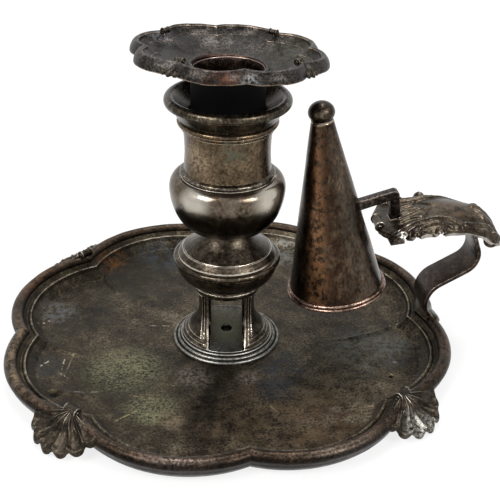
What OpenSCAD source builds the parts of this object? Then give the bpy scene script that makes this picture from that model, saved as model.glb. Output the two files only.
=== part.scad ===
// Chamberstick: a lobed drip tray on a pierced column with a candle cup,
// a lift-out nozzle, a conical extinguisher and a leaf thumb-piece.
// The column axis is Z, the tray stands on z = 0, and the handle points along +X.

/* [Tray] */
// Number of lobes round the tray
lobe_count = 8; // [6:1:10]
// Outer radius of the tray at the middle of a lobe
tray_r = 72.3; // [66:0.1:80]
// Outer radius of the tray at the notch between two lobes
tray_notch_r = 67.15; // [62:0.05:67.5]
// Thickness of the tray sheet
sheet_t = 1.5; // [1:0.1:2]
// Radius of the roll along the top of the rim
rim_roll_r = 2.0; // [1.6:0.1:2.4]
// Height of the top of the rim above the table
rim_h = 8.35; // [7.6:0.05:9.5]
// Width of the rim from its outer edge to the step on the tray floor
rim_w = 6.2; // [5.4:0.1:7.5]
// Height of that step above the tray floor
step_h = 4.0; // [3:0.1:4.2]
// Drop of the tray floor inside the step
step_drop = 1.2; // [0.8:0.1:1.6]

/* [Shell ornaments] */
// Length of a shell from its root on the rim to its tip
shell_len = 13.6; // [11:0.1:15]
// Number of flutes in a shell
shell_flutes = 7; // [5:2:9]
// Angle between neighbouring flutes
flute_step = 26.8; // [24:0.1:28]
// Depth of the scallops between the ends of the flutes
flute_scallop = 1.3; // [0.8:0.1:1.8]
// Width of a hollow flute at its outer end
flute_w = 5.6; // [4.8:0.1:5.8]
// Depth of a hollow flute at its outer end
flute_depth = 0.65; // [0.4:0.05:0.8]
// Fall of a shell from its root to its tip, in degrees
shell_fall = 28.5; // [20:0.5:30]
// Thickness of a shell
shell_t = 1.5; // [1.2:0.1:2]
// Radius of the rolled scroll at the root of a shell
shell_boss_r = 1.6; // [1.2:0.1:2]

/* [Column] */
// Radius of the column foot on the tray
foot_r = 17.2; // [16:0.1:20]
// Height of the column foot
foot_h = 3.0; // [2.4:0.1:4]
// Radius of the hole in the middle of the foot
foot_hole_r = 1.65; // [1.2:0.05:2.5]
// Wall of the hollow parts of the column over the pillar
column_wall = 1.3; // [1:0.1:1.8]
// Height of the pierced pillar
pillar_h = 18.0; // [15:0.5:24]
// Outer radius of the pillar at its foot
pillar_foot_r = 14.2; // [13:0.1:15]
// Outer radius of the pillar at its waist
pillar_waist_r = 9.0; // [8.4:0.1:10]
// Outer radius of the pillar at its top
pillar_top_r = 10.6; // [10:0.1:11]
// Wall of the pillar
pillar_wall = 1.3; // [1:0.1:1.8]
// Width of the two openings in the pillar
window_w = 11.6; // [9:0.1:13]
// Height of the band left over the openings
window_band = 1.6; // [1:0.1:2.5]
// Turn of the openings from the front of the tray, in degrees
window_turn = -6; // [-15:1:15]
// Height of the collar on the pillar
collar_h = 1.6; // [1.2:0.1:2.4]
// Radius of the collar
collar_r = 11.4; // [11.1:0.1:12.5]
// Radius of the knop at its bead
knop_r = 16.7; // [15:0.1:18]
// Height of the underside of the knop
knop_low_h = 6.7; // [5.5:0.1:8]
// Thickness of the bead round the knop
knop_bead_t = 2.0; // [1.6:0.1:2.6]
// Height of the upper cone of the knop
knop_up_h = 8.7; // [7:0.1:10]
// Radius of the neck over the knop
neck_r = 7.1; // [6:0.1:8]

/* [Candle cup] */
// Height of the rounded bowl under the barrel
bowl_h = 18.3; // [16:0.1:21]
// Largest radius of the bowl
bowl_r = 17.6; // [16:0.1:19]
// Share of the bowl's height that lies under its widest line
bowl_belly = 0.78; // [0.7:0.01:0.82]
// Thickness of the bead at the foot of the barrel
cup_bead_t = 1.8; // [1.4:0.1:2.4]
// Radius of that bead
cup_bead_r = 14.3; // [14:0.1:15]
// Height of the barrel
barrel_h = 12.9; // [11:0.1:16]
// Outer radius of the barrel
barrel_r = 13.2; // [12.8:0.1:13.6]
// Hollow of the barrel's side
barrel_waist = 0.4; // [0.2:0.05:0.6]
// Radius of the socket in the cup
socket_r = 11.0; // [10.6:0.05:11.3]
// Thickness of metal under the socket
socket_floor_t = 2.0; // [1.5:0.1:3]
// Height of the mouldings under the lip
moulding_h = 3.2; // [2.6:0.1:4]
// Radius of the mouldings under the lip
moulding_r = 15.0; // [14.4:0.1:15.6]
// Height of the lip
lip_h = 7.1; // [6:0.1:8]
// Outer radius of the lip
lip_r = 18.7; // [17.5:0.1:20]

/* [Nozzle] */
// Radial clearance of the nozzle tube in the socket
nozzle_clearance = 0.1; // [0.05:0.01:0.1]
// Wall of the nozzle tube
nozzle_wall = 0.6; // [0.5:0.05:1]
// Height of the nozzle tube over the lip
nozzle_rise = 7.8; // [6.5:0.1:9]
// Outer radius of the nozzle pan at the middle of a lobe
pan_r = 28.7; // [27:0.1:30]
// Outer radius of the nozzle pan at a notch
pan_notch_r = 26.0; // [25:0.1:26.5]
// Depth of the nozzle pan
pan_depth = 6.0; // [5:0.1:7]
// Height of the ledge round the pan over its hole
pan_ledge_h = 3.9; // [3.2:0.1:4.6]
// Width of that ledge at the middle of a lobe
pan_ledge_w = 5.0; // [4.6:0.1:6]
// Drop of the pan's turned-down edge
pan_lip_drop = 3.3; // [2.6:0.1:4]
// Thickness of the pan's sheet
pan_t = 0.8; // [0.6:0.05:1]
// Width of the pan's edge from its crest outwards
pan_edge_w = 1.9; // [1.5:0.1:2.4]
// Width of the slope from the pan's ledge to its crest
pan_slope_w = 2.7; // [2.2:0.1:3.2]
// Lean of the pan to the right, in degrees
pan_lean_x = 2.9; // [0:0.1:4]
// Lean of the pan to the back, in degrees
pan_lean_y = 2.6; // [0:0.1:4]
// Radius of the rolled edge round the candle hole
hole_bead_r = 0.7; // [0.5:0.05:0.9]
// Turn of the pan's notches from the handle, in degrees
pan_turn = 4; // [-20:1:20]
// Number of flutes in a small shell on the pan
pan_shell_flutes = 5; // [3:2:7]
// Angle between neighbouring flutes of a small shell
pan_flute_step = 21; // [18:0.5:22]
// Length of the small shells on the pan
pan_shell_len = 6.2; // [5:0.1:7]
// Thickness of the small shells
pan_shell_t = 0.9; // [0.7:0.1:1.2]
// Depth of the scallops of the small shells
pan_flute_scallop = 0.6; // [0.4:0.05:0.8]
// Width of a hollow flute of a small shell at its outer end
pan_flute_w = 1.9; // [1.5:0.1:2]
// Depth of that flute
pan_flute_depth = 0.35; // [0.2:0.05:0.45]
// Fall of a small shell from its root to its tip, in degrees
pan_shell_fall = 22; // [15:1:26]

/* [Extinguisher] */
// Distance from the column axis to the middle of the cone's mouth
cone_x = 35.6; // [35:0.1:38]
// Height of the cone's mouth over the tray floor
cone_lift = 16.8; // [14:0.1:18]
// Lean of the extinguisher towards the column, in degrees
cone_lean = 7.6; // [5:0.1:8]
// Length of the cone
cone_len = 58.0; // [50:0.5:60]
// Outer radius of the cone at its mouth
cone_r = 15.2; // [14:0.1:16]
// Outer radius of the cone at its top
cone_top_r = 3.4; // [3:0.1:4.5]
// Wall of the cone
cone_wall = 0.8; // [0.6:0.05:1.2]
// Radius of the ball on the cone
ball_r = 4.05; // [3.7:0.05:4.8]
// Thickness of the ball
ball_h = 6.0; // [5:0.1:7]
// Thickness of each bead at the cone's mouth
mouth_bead_t = 1.1; // [0.8:0.1:1.5]
// How far the lower bead stands out from the cone
mouth_bead_out = 0.7; // [0.4:0.1:1]
// Side of the square bar of the arm
arm_t = 2.7; // [2.4:0.1:3]
// Height of the arm's root over the cone's mouth
arm_root_h = 28.3; // [26:0.1:30]
// Length from the cone's axis to the arm's leg
arm_reach = 20.4; // [19.5:0.1:22]
// Rise of the arm from its root to its corner
arm_rise = 1.8; // [1:0.1:2.5]
// Length of the arm's leg below the corner
arm_leg = 17.6; // [16:0.1:19]

/* [Handle] */
// Clearance of the arm's leg in its socket, each side
leg_clearance = 0.3; // [0.2:0.05:0.4]
// Depth of the socket that takes the leg
leg_socket_h = 8.6; // [7:0.1:10]
// Wall of that socket
leg_socket_wall = 0.65; // [0.5:0.05:1]
// Thickness of the socket's floor
leg_socket_floor = 0.8; // [0.6:0.1:1.2]
// Length of the thumb-piece
leaf_len = 42.6; // [38:0.1:46]
// Width of the thumb-piece
leaf_w = 26.4; // [22:0.1:30]
// Radius of the thumb-piece's arch along the handle
leaf_arch_r = 30.0; // [28:0.5:33]
// Radius of the thumb-piece's arch across the handle
leaf_dome_r = 31.0; // [26:0.5:40]
// Height of the thumb-piece's top over the tray floor
leaf_h = 45.3; // [44:0.1:46.5]
// Distance from the column axis to the top of the arch
leaf_top_x = 62.0; // [60:0.1:63]
// Thickness of the thumb-piece
leaf_t = 2.0; // [1.6:0.1:2.6]
// Radius of the scroll at the end of the thumb-piece
scroll_r = 2.2; // [1.6:0.1:2.6]
// Width of that scroll
scroll_w = 10.4; // [8:0.1:12]
// Width of the strap
strap_w = 12.6; // [9:0.1:14]
// Thickness of the strap
strap_t = 1.4; // [1.1:0.1:1.8]
// Radius of the bend under the thumb-piece
strap_top_bend = 6.5; // [5.5:0.1:7.5]
// Radius of the bend over the rim
strap_low_bend = 8.0; // [7:0.1:9]
// Radius of the lug that the strap is fixed to
lug_r = 6.8; // [6:0.1:8]
// Thickness of that lug
lug_t = 2.2; // [1.6:0.1:2.8]

/* [Hidden] */
$fn = 72;
eps = 0.01;
lobe_angle = 360 / lobe_count;

// Lobes of a lobed edge are arcs about centres that lie lobe_centre() from the axis
function lobe_centre(mid_r, notch_r) =
    (mid_r * mid_r - notch_r * notch_r) / (2 * (mid_r - notch_r * cos(lobe_angle / 2)));
function arc(cx, cy, r, a0, a1, steps) =
    [for (i = [0:steps]) let (a = a0 + (a1 - a0) * i / steps) [cx + r * cos(a), cy + r * sin(a)]];

tray_c = lobe_centre(tray_r, tray_notch_r);
edge_rho = tray_r - tray_c;
roll_rho = edge_rho - rim_roll_r;
roll_z = rim_h - rim_roll_r;
step_rho = edge_rho - rim_w;
step_z = sheet_t + step_h;
low_z = step_z - step_drop;
butt_rho = roll_rho - rim_roll_r;
floor_rho = step_rho - 3.4;
skirt_rho = step_rho + 0.2;
// Under side of the sheet from the flat floor to the roll, parallel to the upper side
under_side = [
    [floor_rho + 0.6, 0],
    [step_rho - 0.3, low_z - sheet_t + 0.2],
    [step_rho + 1.0, step_z - sheet_t + 0.2],
    [butt_rho + 0.3, roll_z - sheet_t - 0.9],
    [butt_rho + 0.9, roll_z - 1.15]
];
upper_side = [
    [floor_rho, sheet_t],
    [step_rho - 1.5, low_z - 1.0],
    [step_rho - 0.5, low_z],
    [step_rho, step_z],
    [step_rho + 0.6, step_z + 0.1],
    [butt_rho - 0.7, roll_z - 1.0],
    [butt_rho, roll_z]
];
floor_z = sheet_t;

// Heights of the column's pieces, each standing on the one below
foot_top = floor_z + foot_h;
pillar_top = foot_top + pillar_h;
collar_top = pillar_top + collar_h;
knop_low_top = collar_top + knop_low_h;
knop_bead_top = knop_low_top + knop_bead_t;
neck_z = knop_bead_top + knop_up_h;
bowl_top = neck_z + bowl_h;
cup_bead_top = bowl_top + cup_bead_t;
barrel_top = cup_bead_top + barrel_h;
moulding_top = barrel_top + moulding_h;
lip_top = moulding_top + lip_h;
socket_floor_z = cup_bead_top + socket_floor_t;
seat_gap = 0.2;

tube_r = socket_r - nozzle_clearance;
bore_r = tube_r - nozzle_wall;
tube_z = socket_floor_z + seat_gap;
hole_z = lip_top + nozzle_rise;
pan_c = lobe_centre(pan_r, pan_notch_r);
pan_edge_rho = pan_r - pan_c;
crest_rho = pan_edge_rho - pan_edge_w;
ledge_rho = crest_rho - pan_slope_w;
ledge_r = pan_c + ledge_rho - pan_ledge_w;
pan_reach = 2 * pan_r;

cone_z = floor_z + cone_lift;
leg_top_z = arm_root_h + arm_rise;

leaf_c = [leaf_top_x, floor_z + leaf_h - leaf_arch_r];
leaf_mid_out = 5.2;
leaf_mid_x = leaf_top_x + leaf_mid_out;
leg_box = arm_t + 2 * leg_clearance;
socket_box = leg_box + 2 * leg_socket_wall;

module spin(points) rotate_extrude() polygon(points);
function backwards(points) = [for (i = [len(points) - 1:-1:0]) points[i]];

// Lobes from first to last, joined where they bulge out between the notches. Where the notch lies
// further out than the lobes, the edge is what the wide circles of all the lobes have in common.
module lobed(centre, first = 0, last = lobe_count - 1)
    if (centre > 0)
        for (k = [first:last]) rotate([0, 0, (k + 0.5) * lobe_angle]) children();
    else
        intersection_for(k = [0:lobe_count - 1]) rotate([0, 0, (k + 0.5) * lobe_angle]) children();

// One lobe of the tray as a full turned solid, from its section
module tray_lobe(points) translate([tray_c, 0, 0]) spin(points);

roll_foot_turn = -35;
roll_outer = arc(roll_rho, roll_z, rim_roll_r, roll_foot_turn, 90, 6);
roll_inner = arc(roll_rho, roll_z, rim_roll_r, 112.5, 180, 3);
skirt_outline = [[skirt_rho, 0], [edge_rho - 2.8, 1.3], [edge_rho - 0.9, 3.6]];
envelope_outline = concat([[0, 0]], skirt_outline, roll_outer, roll_inner, [[0, roll_z]]);

module tray_envelope(first, last) lobed(tray_c, first, last) tray_lobe(envelope_outline);
// Middle of the tray, which the lobes' own circles may not reach
module tray_hub(h) if (tray_c > 0) cylinder(r = tray_c, h = h);

module tray_pan() color("dimgray") difference() {
    union() {
        tray_hub(roll_z);
        lobed(tray_c) tray_lobe(concat([[0, 0]], under_side, [[butt_rho, roll_z], [0, roll_z]]));
    }
    translate([0, 0, sheet_t]) tray_hub(rim_h);
    lobed(tray_c) tray_lobe(concat([[0, sheet_t]], upper_side, [[butt_rho, rim_h], [0, rim_h]]));
    translate([0, 0, -eps]) cylinder(r = foot_hole_r, h = rim_h);
}

module tray_rim() color("rosybrown") difference() {
    union() {
        tray_hub(roll_z);
        tray_envelope(0, lobe_count - 1);
    }
    translate([0, 0, -1]) tray_hub(2 * rim_h);
    lobed(tray_c) tray_lobe(concat(
        [[0, -1], [under_side[0][0], -1]], under_side, backwards(roll_inner),
        [[roll_rho, rim_h], [roll_rho, rim_h + 1], [0, rim_h + 1]]
    ));
}

// Plan of a shell round its root: a fan with a scalloped edge and a straight back
scallop_steps = 8;
function fan_outline(flutes, step, len, scallop) = [for (i = [0:flutes * scallop_steps]) let (
    a = step * (i / scallop_steps - flutes / 2),
    r = len - scallop * (1 - abs(sin(180 * i / scallop_steps)))
) r * [cos(a), sin(a)]];
// A hollow flute: a cone that lies on the shell's plane at the root and sinks to its depth at the end
flute_root_r = 0.15;
module flute(start, len, width, depth) {
    end_r = (width * width / 4 + depth * depth) / (2 * depth);
    run = len - start;
    rise = end_r - depth - flute_root_r;
    past = 1.2;
    translate([start, 0, flute_root_r]) rotate([0, 90 - atan(rise / run), 0])
        cylinder(r1 = flute_root_r, r2 = flute_root_r + (end_r - flute_root_r) * past,
            h = norm([run, rise]) * past);
}
module fan(flutes, step, len, thickness, scallop, width, depth) difference() {
    translate([0, 0, -thickness]) linear_extrude(thickness)
        polygon(fan_outline(flutes, step, len, scallop));
    for (i = [0:flutes - 1])
        rotate([0, 0, (i - (flutes - 1) / 2) * step]) flute(len / 5, len, width, depth);
}

shell_root_r = tray_notch_r - rim_roll_r;
shell_rise = 0.6;
shell_scroll_w = 5.2;
module shell_mount(turn) color("gray") difference() {
    rotate([0, 0, turn]) translate([shell_root_r, 0, rim_h + shell_rise]) {
        rotate([0, shell_fall, 0])
            fan(shell_flutes, flute_step, shell_len, shell_t, flute_scallop, flute_w, flute_depth);
        translate([0, shell_scroll_w / 2, 0]) rotate([90, 0, 0])
            cylinder(r = shell_boss_r, h = shell_scroll_w);
    }
    tray_envelope(round(turn / lobe_angle) - 1, round(turn / lobe_angle));
}
module shell_back_right() shell_mount(lobe_angle);
module shell_back_left() shell_mount(3 * lobe_angle);
module shell_front_left() shell_mount((lobe_count - 3) * lobe_angle);
module shell_front_right() shell_mount((lobe_count - 1) * lobe_angle);

foot_bead = foot_h / 3;
module column_foot() color("gray") translate([0, 0, floor_z]) spin([
    [foot_hole_r, 0], [foot_r, 0], [foot_r, foot_bead * 0.6],
    [foot_r - 0.5, foot_bead], [foot_r - 1.6, foot_bead * 1.1],
    [pillar_foot_r + 0.8, foot_bead * 1.7], [pillar_foot_r + 0.7, foot_bead * 2.2],
    [pillar_foot_r + 0.2, foot_bead * 2.6], [pillar_foot_r + 0.2, foot_h], [foot_hole_r, foot_h]
]);

// Side of the pillar: a hollow curve from foot to waist and waist to top
waist_share = 0.6;
function pillar_side(t) = t < waist_share
    ? pillar_waist_r + (pillar_foot_r - pillar_waist_r) * pow(1 - t / waist_share, 2.4)
    : pillar_waist_r + (pillar_top_r - pillar_waist_r) * pow((t - waist_share) / (1 - waist_share), 2);
pillar_steps = 14;
module pierced_pillar() color("gray") difference() {
    translate([0, 0, foot_top]) spin(concat(
        [for (i = [0:pillar_steps]) [pillar_side(i / pillar_steps), pillar_h * i / pillar_steps]],
        [for (i = [pillar_steps:-1:0])
            [pillar_side(i / pillar_steps) - pillar_wall, pillar_h * i / pillar_steps]]
    ));
    rotate([0, 0, window_turn])
        translate([-window_w / 2, -2 * foot_r, foot_top - 1])
            cube([window_w, 4 * foot_r, pillar_h + 1 - window_band]);
}

collar_bore_r = pillar_top_r - pillar_wall;
module pillar_collar() color("gray") translate([0, 0, pillar_top]) spin([
    [collar_bore_r, 0], [collar_r - 0.5, 0], [collar_r, collar_h * 0.2],
    [collar_r - 0.5, collar_h * 0.45], [collar_r - 0.1, collar_h * 0.7],
    [collar_r - 0.5, collar_h], [collar_bore_r, collar_h]
]);

// Side of the knop's bowl, drawn in by inset for its inner face
knop_seat_r = knop_r - 0.9;
knop_base_r = collar_r - 0.9;
function knop_low_side(inset) = [for (i = [0:10]) let (a = 90 * i / 10)
    [knop_base_r - inset + (knop_seat_r - knop_base_r) * sin(a),
     inset + (knop_low_h - inset) * (1 - cos(a))]];
module knop_underside() color("gray") translate([0, 0, collar_top]) spin(concat(
    [[0, 0]], knop_low_side(0), backwards(knop_low_side(column_wall)), [[0, column_wall]]
));

knop_bead_bore_r = knop_r - 2 * column_wall - 1;
module knop_bead() color("silver") translate([0, 0, knop_low_top]) spin(concat(
    [[knop_bead_bore_r, 0]],
    arc(knop_r - knop_bead_t / 2, knop_bead_t / 2, knop_bead_t / 2, -90, 90, 12),
    [[knop_bead_bore_r, knop_bead_t]]
));

// Side of the knop's hollow cone, from its ledge to the neck
knop_shelf_r = knop_r - 2.2;
knop_ledge_share = 0.24;
function knop_up_side(inset, last) = [for (i = [0:last]) let (t = i / 10)
    [neck_r - inset + (knop_shelf_r - 1.1 - neck_r) * pow(1 - t, 1.7),
     knop_up_h * (knop_ledge_share + 0.7 * t)]];
module knop_cone() color("gray") translate([0, 0, knop_bead_top]) spin(concat(
    [[knop_shelf_r, 0], [knop_shelf_r - 0.6, knop_up_h * knop_ledge_share]],
    knop_up_side(0, 10),
    [[neck_r + 0.6, knop_up_h], [0, knop_up_h], [0, knop_up_h - column_wall],
     [neck_r - column_wall, knop_up_h - column_wall]],
    backwards(knop_up_side(column_wall, 8)),
    [[knop_shelf_r - 1.1 - column_wall, 0]]
));

// Side of the bowl: a rounded belly from the neck, and a short shoulder over it
bowl_low_h = bowl_h * bowl_belly;
bowl_top_r = cup_bead_r + 0.4;
bowl_foot_r = neck_r + 0.7;
function bowl_belly_side(inset) = [for (i = [0:14]) let (a = 90 * i / 14)
    [bowl_foot_r - inset + (bowl_r - bowl_foot_r) * pow(sin(a), 0.85),
     inset + 0.6 + (bowl_low_h - inset - 0.6) * (1 - pow(cos(a), 1.15))]];
function bowl_shoulder_side(inset) = [for (i = [1:8]) let (a = 90 * i / 8)
    [bowl_top_r - inset + (bowl_r - bowl_top_r) * cos(a),
     bowl_low_h + (bowl_h - bowl_low_h) * sin(a)]];
module cup_bowl() color("darkgray") translate([0, 0, neck_z]) spin(concat(
    [[0, 0], [bowl_foot_r - 0.1, 0]], bowl_belly_side(0), bowl_shoulder_side(0),
    backwards(bowl_shoulder_side(column_wall)), backwards(bowl_belly_side(column_wall)),
    [[0, column_wall + 0.6]]
));

cup_bead_bore_r = cup_bead_r - 3;
cup_bead_turn = -60;
module cup_bead() color("silver") translate([0, 0, bowl_top]) spin(concat(
    [[cup_bead_bore_r, 0], [bowl_top_r - 0.3, 0]],
    arc(cup_bead_r - cup_bead_t * 0.3, cup_bead_t * 0.6, cup_bead_t * 0.4, cup_bead_turn, 90, 8),
    [[cup_bead_bore_r, cup_bead_t]]
));

barrel_steps = 8;
module cup_barrel() color("dimgray") difference() {
    translate([0, 0, cup_bead_top]) spin(concat(
        [[0, 0]],
        [for (i = [0:barrel_steps]) let (t = i / barrel_steps)
            [barrel_r - barrel_waist * sin(180 * t), barrel_h * t]],
        [[0, barrel_h]]
    ));
    translate([0, 0, socket_floor_z]) cylinder(r = socket_r, h = 2 * barrel_h);
}

module cup_moulding() color("gray") translate([0, 0, barrel_top]) spin([
    [socket_r, 0], [barrel_r + 0.3, 0], [barrel_r + 0.9, moulding_h * 0.15],
    [barrel_r + 0.5, moulding_h * 0.3], [moulding_r - 0.8, moulding_h * 0.4],
    [moulding_r, moulding_h * 0.6], [moulding_r, moulding_h * 0.75],
    [moulding_r - 0.6, moulding_h], [socket_r, moulding_h]
]);

lip_roll_r = 1.7;
lip_mid_z = lip_h - lip_roll_r;
lip_dish_h = 4.2;
module cup_lip() color("gray") translate([0, 0, moulding_top]) spin(concat(
    [[socket_r, 0], [moulding_r - 0.8, 0], [moulding_r - 0.9, lip_h * 0.18],
     [moulding_r + 0.2, lip_h * 0.4]],
    arc(lip_r - lip_roll_r, lip_mid_z, lip_roll_r, -40, 90, 12),
    [[lip_r - 1.6 * lip_roll_r, lip_h - 0.3], [lip_r - 2.3 * lip_roll_r, lip_h - 1.1],
     [socket_r + 0.6, lip_h - lip_dish_h + 0.6], [socket_r, lip_h - lip_dish_h]]
));

module lean_pan() translate([0, 0, hole_z]) rotate([-pan_lean_y, pan_lean_x, 0]) children();

module nozzle_tube() color("saddlebrown") difference() {
    translate([0, 0, tube_z]) cylinder(r = tube_r, h = hole_z + 4 - tube_z);
    translate([0, 0, tube_z - eps]) cylinder(r = bore_r, h = hole_z + 5 - tube_z);
    lean_pan() translate([-pan_r, -pan_r, 0]) cube(pan_reach);
}

// The pan's well is turned about the axis, and its rim about the centre of each lobe
pan_under_z = pan_depth - pan_lip_drop;
well_r = ledge_r - 3.5;
well_z = pan_ledge_h * 0.45;
// A point past the ledge on the straight side that leads up to it from the well's bend
function past_ledge(bend_z, top_z) =
    [ledge_r + 0.8, top_z + 0.8 * (top_z - bend_z) / (ledge_r - well_r)];
under_top = past_ledge(well_z - pan_t, pan_under_z);
well_top = past_ledge(well_z, pan_ledge_h);
// Outer side of one lobe of the pan, from its turned-down edge over its crest
pan_outline = [
    [0, pan_under_z], [pan_edge_rho, pan_under_z], [pan_edge_rho, pan_under_z + 0.5],
    [crest_rho + 1.0, pan_depth - 0.5], [crest_rho - 0.6, pan_depth + 0.3], [0, pan_depth + 0.3]
];
module pan_lobe(points) translate([pan_c, 0, 0]) spin(points);
module nozzle_pan() color("gray") difference() {
    lean_pan() {
        spin([
            [0, -pan_t], [tube_r + 1.6, -pan_t], [well_r, well_z - pan_t],
            under_top, [0, under_top[1]]
        ]);
        rotate([0, 0, pan_turn]) lobed(pan_c) pan_lobe(pan_outline);
    }
    lean_pan() {
        spin([
            [0, 0], [tube_r + 1.4, 0], [well_r, well_z], well_top, [0, well_top[1]]
        ]);
        rotate([0, 0, pan_turn]) lobed(pan_c) pan_lobe([
            [0, pan_ledge_h], [ledge_rho, pan_ledge_h], [crest_rho - 0.6, pan_depth - 0.1],
            [crest_rho + 0.6, pan_depth + 0.1], [crest_rho + 0.6, pan_depth + 1], [0, pan_depth + 1]
        ]);
    }
    translate([0, 0, tube_z]) cylinder(r = tube_r, h = hole_z);
}

module nozzle_hole_bead() color("rosybrown") lean_pan() spin(concat(
    [[bore_r + 0.15, 0]],
    arc(bore_r + 0.15 + hole_bead_r, hole_bead_r * 0.4, hole_bead_r, -20, 180, 12)
));

// A small shell over a notch of the pan, cut to the outer side of the lobes beside it
pan_shell_root_r = pan_notch_r - pan_shell_len + 2.8;
module pan_shell_mount(notch) color("silver") lean_pan()
    rotate([0, 0, pan_turn + notch * lobe_angle]) difference() {
        translate([pan_shell_root_r, 0, pan_depth + pan_shell_t]) rotate([0, pan_shell_fall, 0])
            fan(pan_shell_flutes, pan_flute_step, pan_shell_len, pan_shell_t,
                pan_flute_scallop, pan_flute_w, pan_flute_depth);
        lobed(pan_c, -1, 0) pan_lobe(pan_outline);
    }
module nozzle_shell_back_right() pan_shell_mount(1);
module nozzle_shell_back_left() pan_shell_mount(3);
module nozzle_shell_front_left() pan_shell_mount(lobe_count - 3);
module nozzle_shell_front_right() pan_shell_mount(lobe_count - 1);

// The extinguisher's own frame: its mouth at the origin and its axis along Z
module at_cone() translate([cone_x, 0, cone_z]) rotate([0, -cone_lean, 0]) children();

module extinguisher_cone() color("sienna") at_cone() difference() {
    cylinder(r1 = cone_r, r2 = cone_top_r, h = cone_len);
    translate([0, 0, -eps])
        cylinder(r1 = cone_r - cone_wall, r2 = cone_top_r - cone_wall, h = cone_len - cone_wall);
}

cone_slope = (cone_r - cone_top_r) / cone_len;
function cone_at(h) = cone_r - cone_slope * h;
function mouth_bead_side(level, out) = arc(
    cone_r + out - mouth_bead_t / 2, mouth_bead_t * (level + 0.5), mouth_bead_t / 2, -90, 90, 8);
module extinguisher_mouth_beads() color("rosybrown") at_cone() difference() {
    spin(concat(
        [[cone_r - 1, 0]], mouth_bead_side(0, mouth_bead_out),
        mouth_bead_side(1, mouth_bead_out * 0.6), [[cone_r - 1, 2 * mouth_bead_t]]
    ));
    cylinder(r1 = cone_r, r2 = cone_top_r, h = cone_len);
}

module extinguisher_ball() color("gray") at_cone() translate([0, 0, cone_len]) spin(concat(
    [[0, 0], [cone_top_r - 0.1, 0]],
    [for (i = [1:12]) let (a = -50 + 140 * i / 12)
        [ball_r * cos(a), ball_h * 0.42 + (a < 0 ? ball_h * 0.42 / sin(50) : ball_h * 0.58) * sin(a)]]
));

module extinguisher_arm() color("dimgray") at_cone() difference() {
    translate([0, arm_t / 2, 0]) rotate([90, 0, 0]) linear_extrude(arm_t) polygon([
        [cone_at(arm_root_h) - 1, arm_root_h - arm_t / 2],
        [arm_reach - arm_t / 2, leg_top_z - arm_t / 2],
        [arm_reach - arm_t / 2, leg_top_z + arm_t / 2 - arm_leg],
        [arm_reach + arm_t / 2, leg_top_z + arm_t / 2 - arm_leg],
        [arm_reach + arm_t / 2, leg_top_z - arm_t / 4],
        [arm_reach, leg_top_z + arm_t / 2],
        [cone_at(arm_root_h) - 1, arm_root_h + arm_t / 2]
    ]);
    cylinder(r1 = cone_r, r2 = cone_top_r, h = cone_len);
}

leg_end_z = leg_top_z + arm_t / 2 - arm_leg;
module at_leg_end() at_cone() translate([arm_reach, 0, leg_end_z - seat_gap]) children();

module leg_hole() at_leg_end()
    translate([-leg_box / 2, -leg_box / 2, 0]) cube([leg_box, leg_box, 2 * leaf_h]);
module socket_block() at_leg_end()
    translate([-socket_box / 2, -socket_box / 2, -leg_socket_floor])
        cube([socket_box, socket_box, leg_socket_h + leg_socket_floor]);
module arm_socket() color("dimgray") difference() {
    socket_block();
    leg_hole();
}

// Plan of the leaf: a rounded oblong with a scalloped edge
leaf_points = 96;
leaf_scallops = 14;
leaf_outline = [for (i = [0:leaf_points - 1]) let (
    a = 360 * i / leaf_points, c = cos(a), s = sin(a),
    k = 1 - 0.025 * (1 + cos(leaf_scallops * a))
) [leaf_len / 2 * k * sign(c) * pow(abs(c), 0.8), leaf_w / 2 * k * sign(s) * pow(abs(s), 0.8)]];
// The arch is turned about a line across the handle, from a doubly curved section
module leaf_dome(r) translate([leaf_arch_r - leaf_dome_r, 0]) circle(r = r, $fn = 180);
module at_leaf() translate([leaf_c[0], 0, leaf_c[1]]) rotate([90, 0, 0]) children();
scroll_turn = acos((leaf_mid_x + leaf_len / 2 - scroll_r - leaf_top_x) / (leaf_arch_r - leaf_t / 2));
module thumb_piece() color("gray") difference() {
    union() {
        intersection() {
            at_leaf() rotate_extrude($fn = 120) intersection() {
                difference() {
                    leaf_dome(leaf_dome_r);
                    leaf_dome(leaf_dome_r - leaf_t);
                }
                translate([0, -leaf_w]) square([2 * leaf_arch_r, 2 * leaf_w]);
            }
            translate([leaf_mid_x, 0, leaf_c[1]])
                linear_extrude(2 * leaf_arch_r) polygon(leaf_outline);
        }
        at_leaf() rotate([0, 0, scroll_turn]) translate([leaf_arch_r - leaf_t / 2, 0, -scroll_w / 2])
            cylinder(r = scroll_r, h = scroll_w);
    }
    socket_block();
    leg_hole();
}
// All that lies over the under side of the leaf
module over_leaf() at_leaf() rotate_extrude($fn = 120) difference() {
    translate([0, -leaf_w]) square([2 * leaf_arch_r, 2 * leaf_w]);
    leaf_dome(leaf_dome_r - leaf_t);
}

// Middle line of the strap in the handle's upright plane: round the lower bend, then round the upper one
lug_x = tray_notch_r - 1.4;
lug_z = rim_h - 2.2;
strap_foot = [tray_notch_r - 2.2, rim_h + 2.6];
strap_low_c = strap_foot + [strap_low_bend, 2.6];
strap_foot_turn = 200;
strap_rise_turn = 118;
strap_bend_turn = -62;
strap_top_turn = 20;
strap_top_out = 12.9;
strap_top_drop = 16.0;
strap_top_c = [leaf_top_x + strap_top_out, floor_z + leaf_h - strap_top_drop];
strap_line = concat(
    [strap_foot + [2.8, -3.6]],
    arc(strap_low_c[0], strap_low_c[1], strap_low_bend, strap_foot_turn, strap_rise_turn, 10),
    arc(strap_top_c[0], strap_top_c[1], strap_top_bend, strap_bend_turn, strap_top_turn, 9),
    [strap_top_c + strap_top_bend * [cos(strap_top_turn), sin(strap_top_turn)]
     + leaf_arch_r / 4 * [-sin(strap_top_turn), cos(strap_top_turn)]]
);
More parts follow.
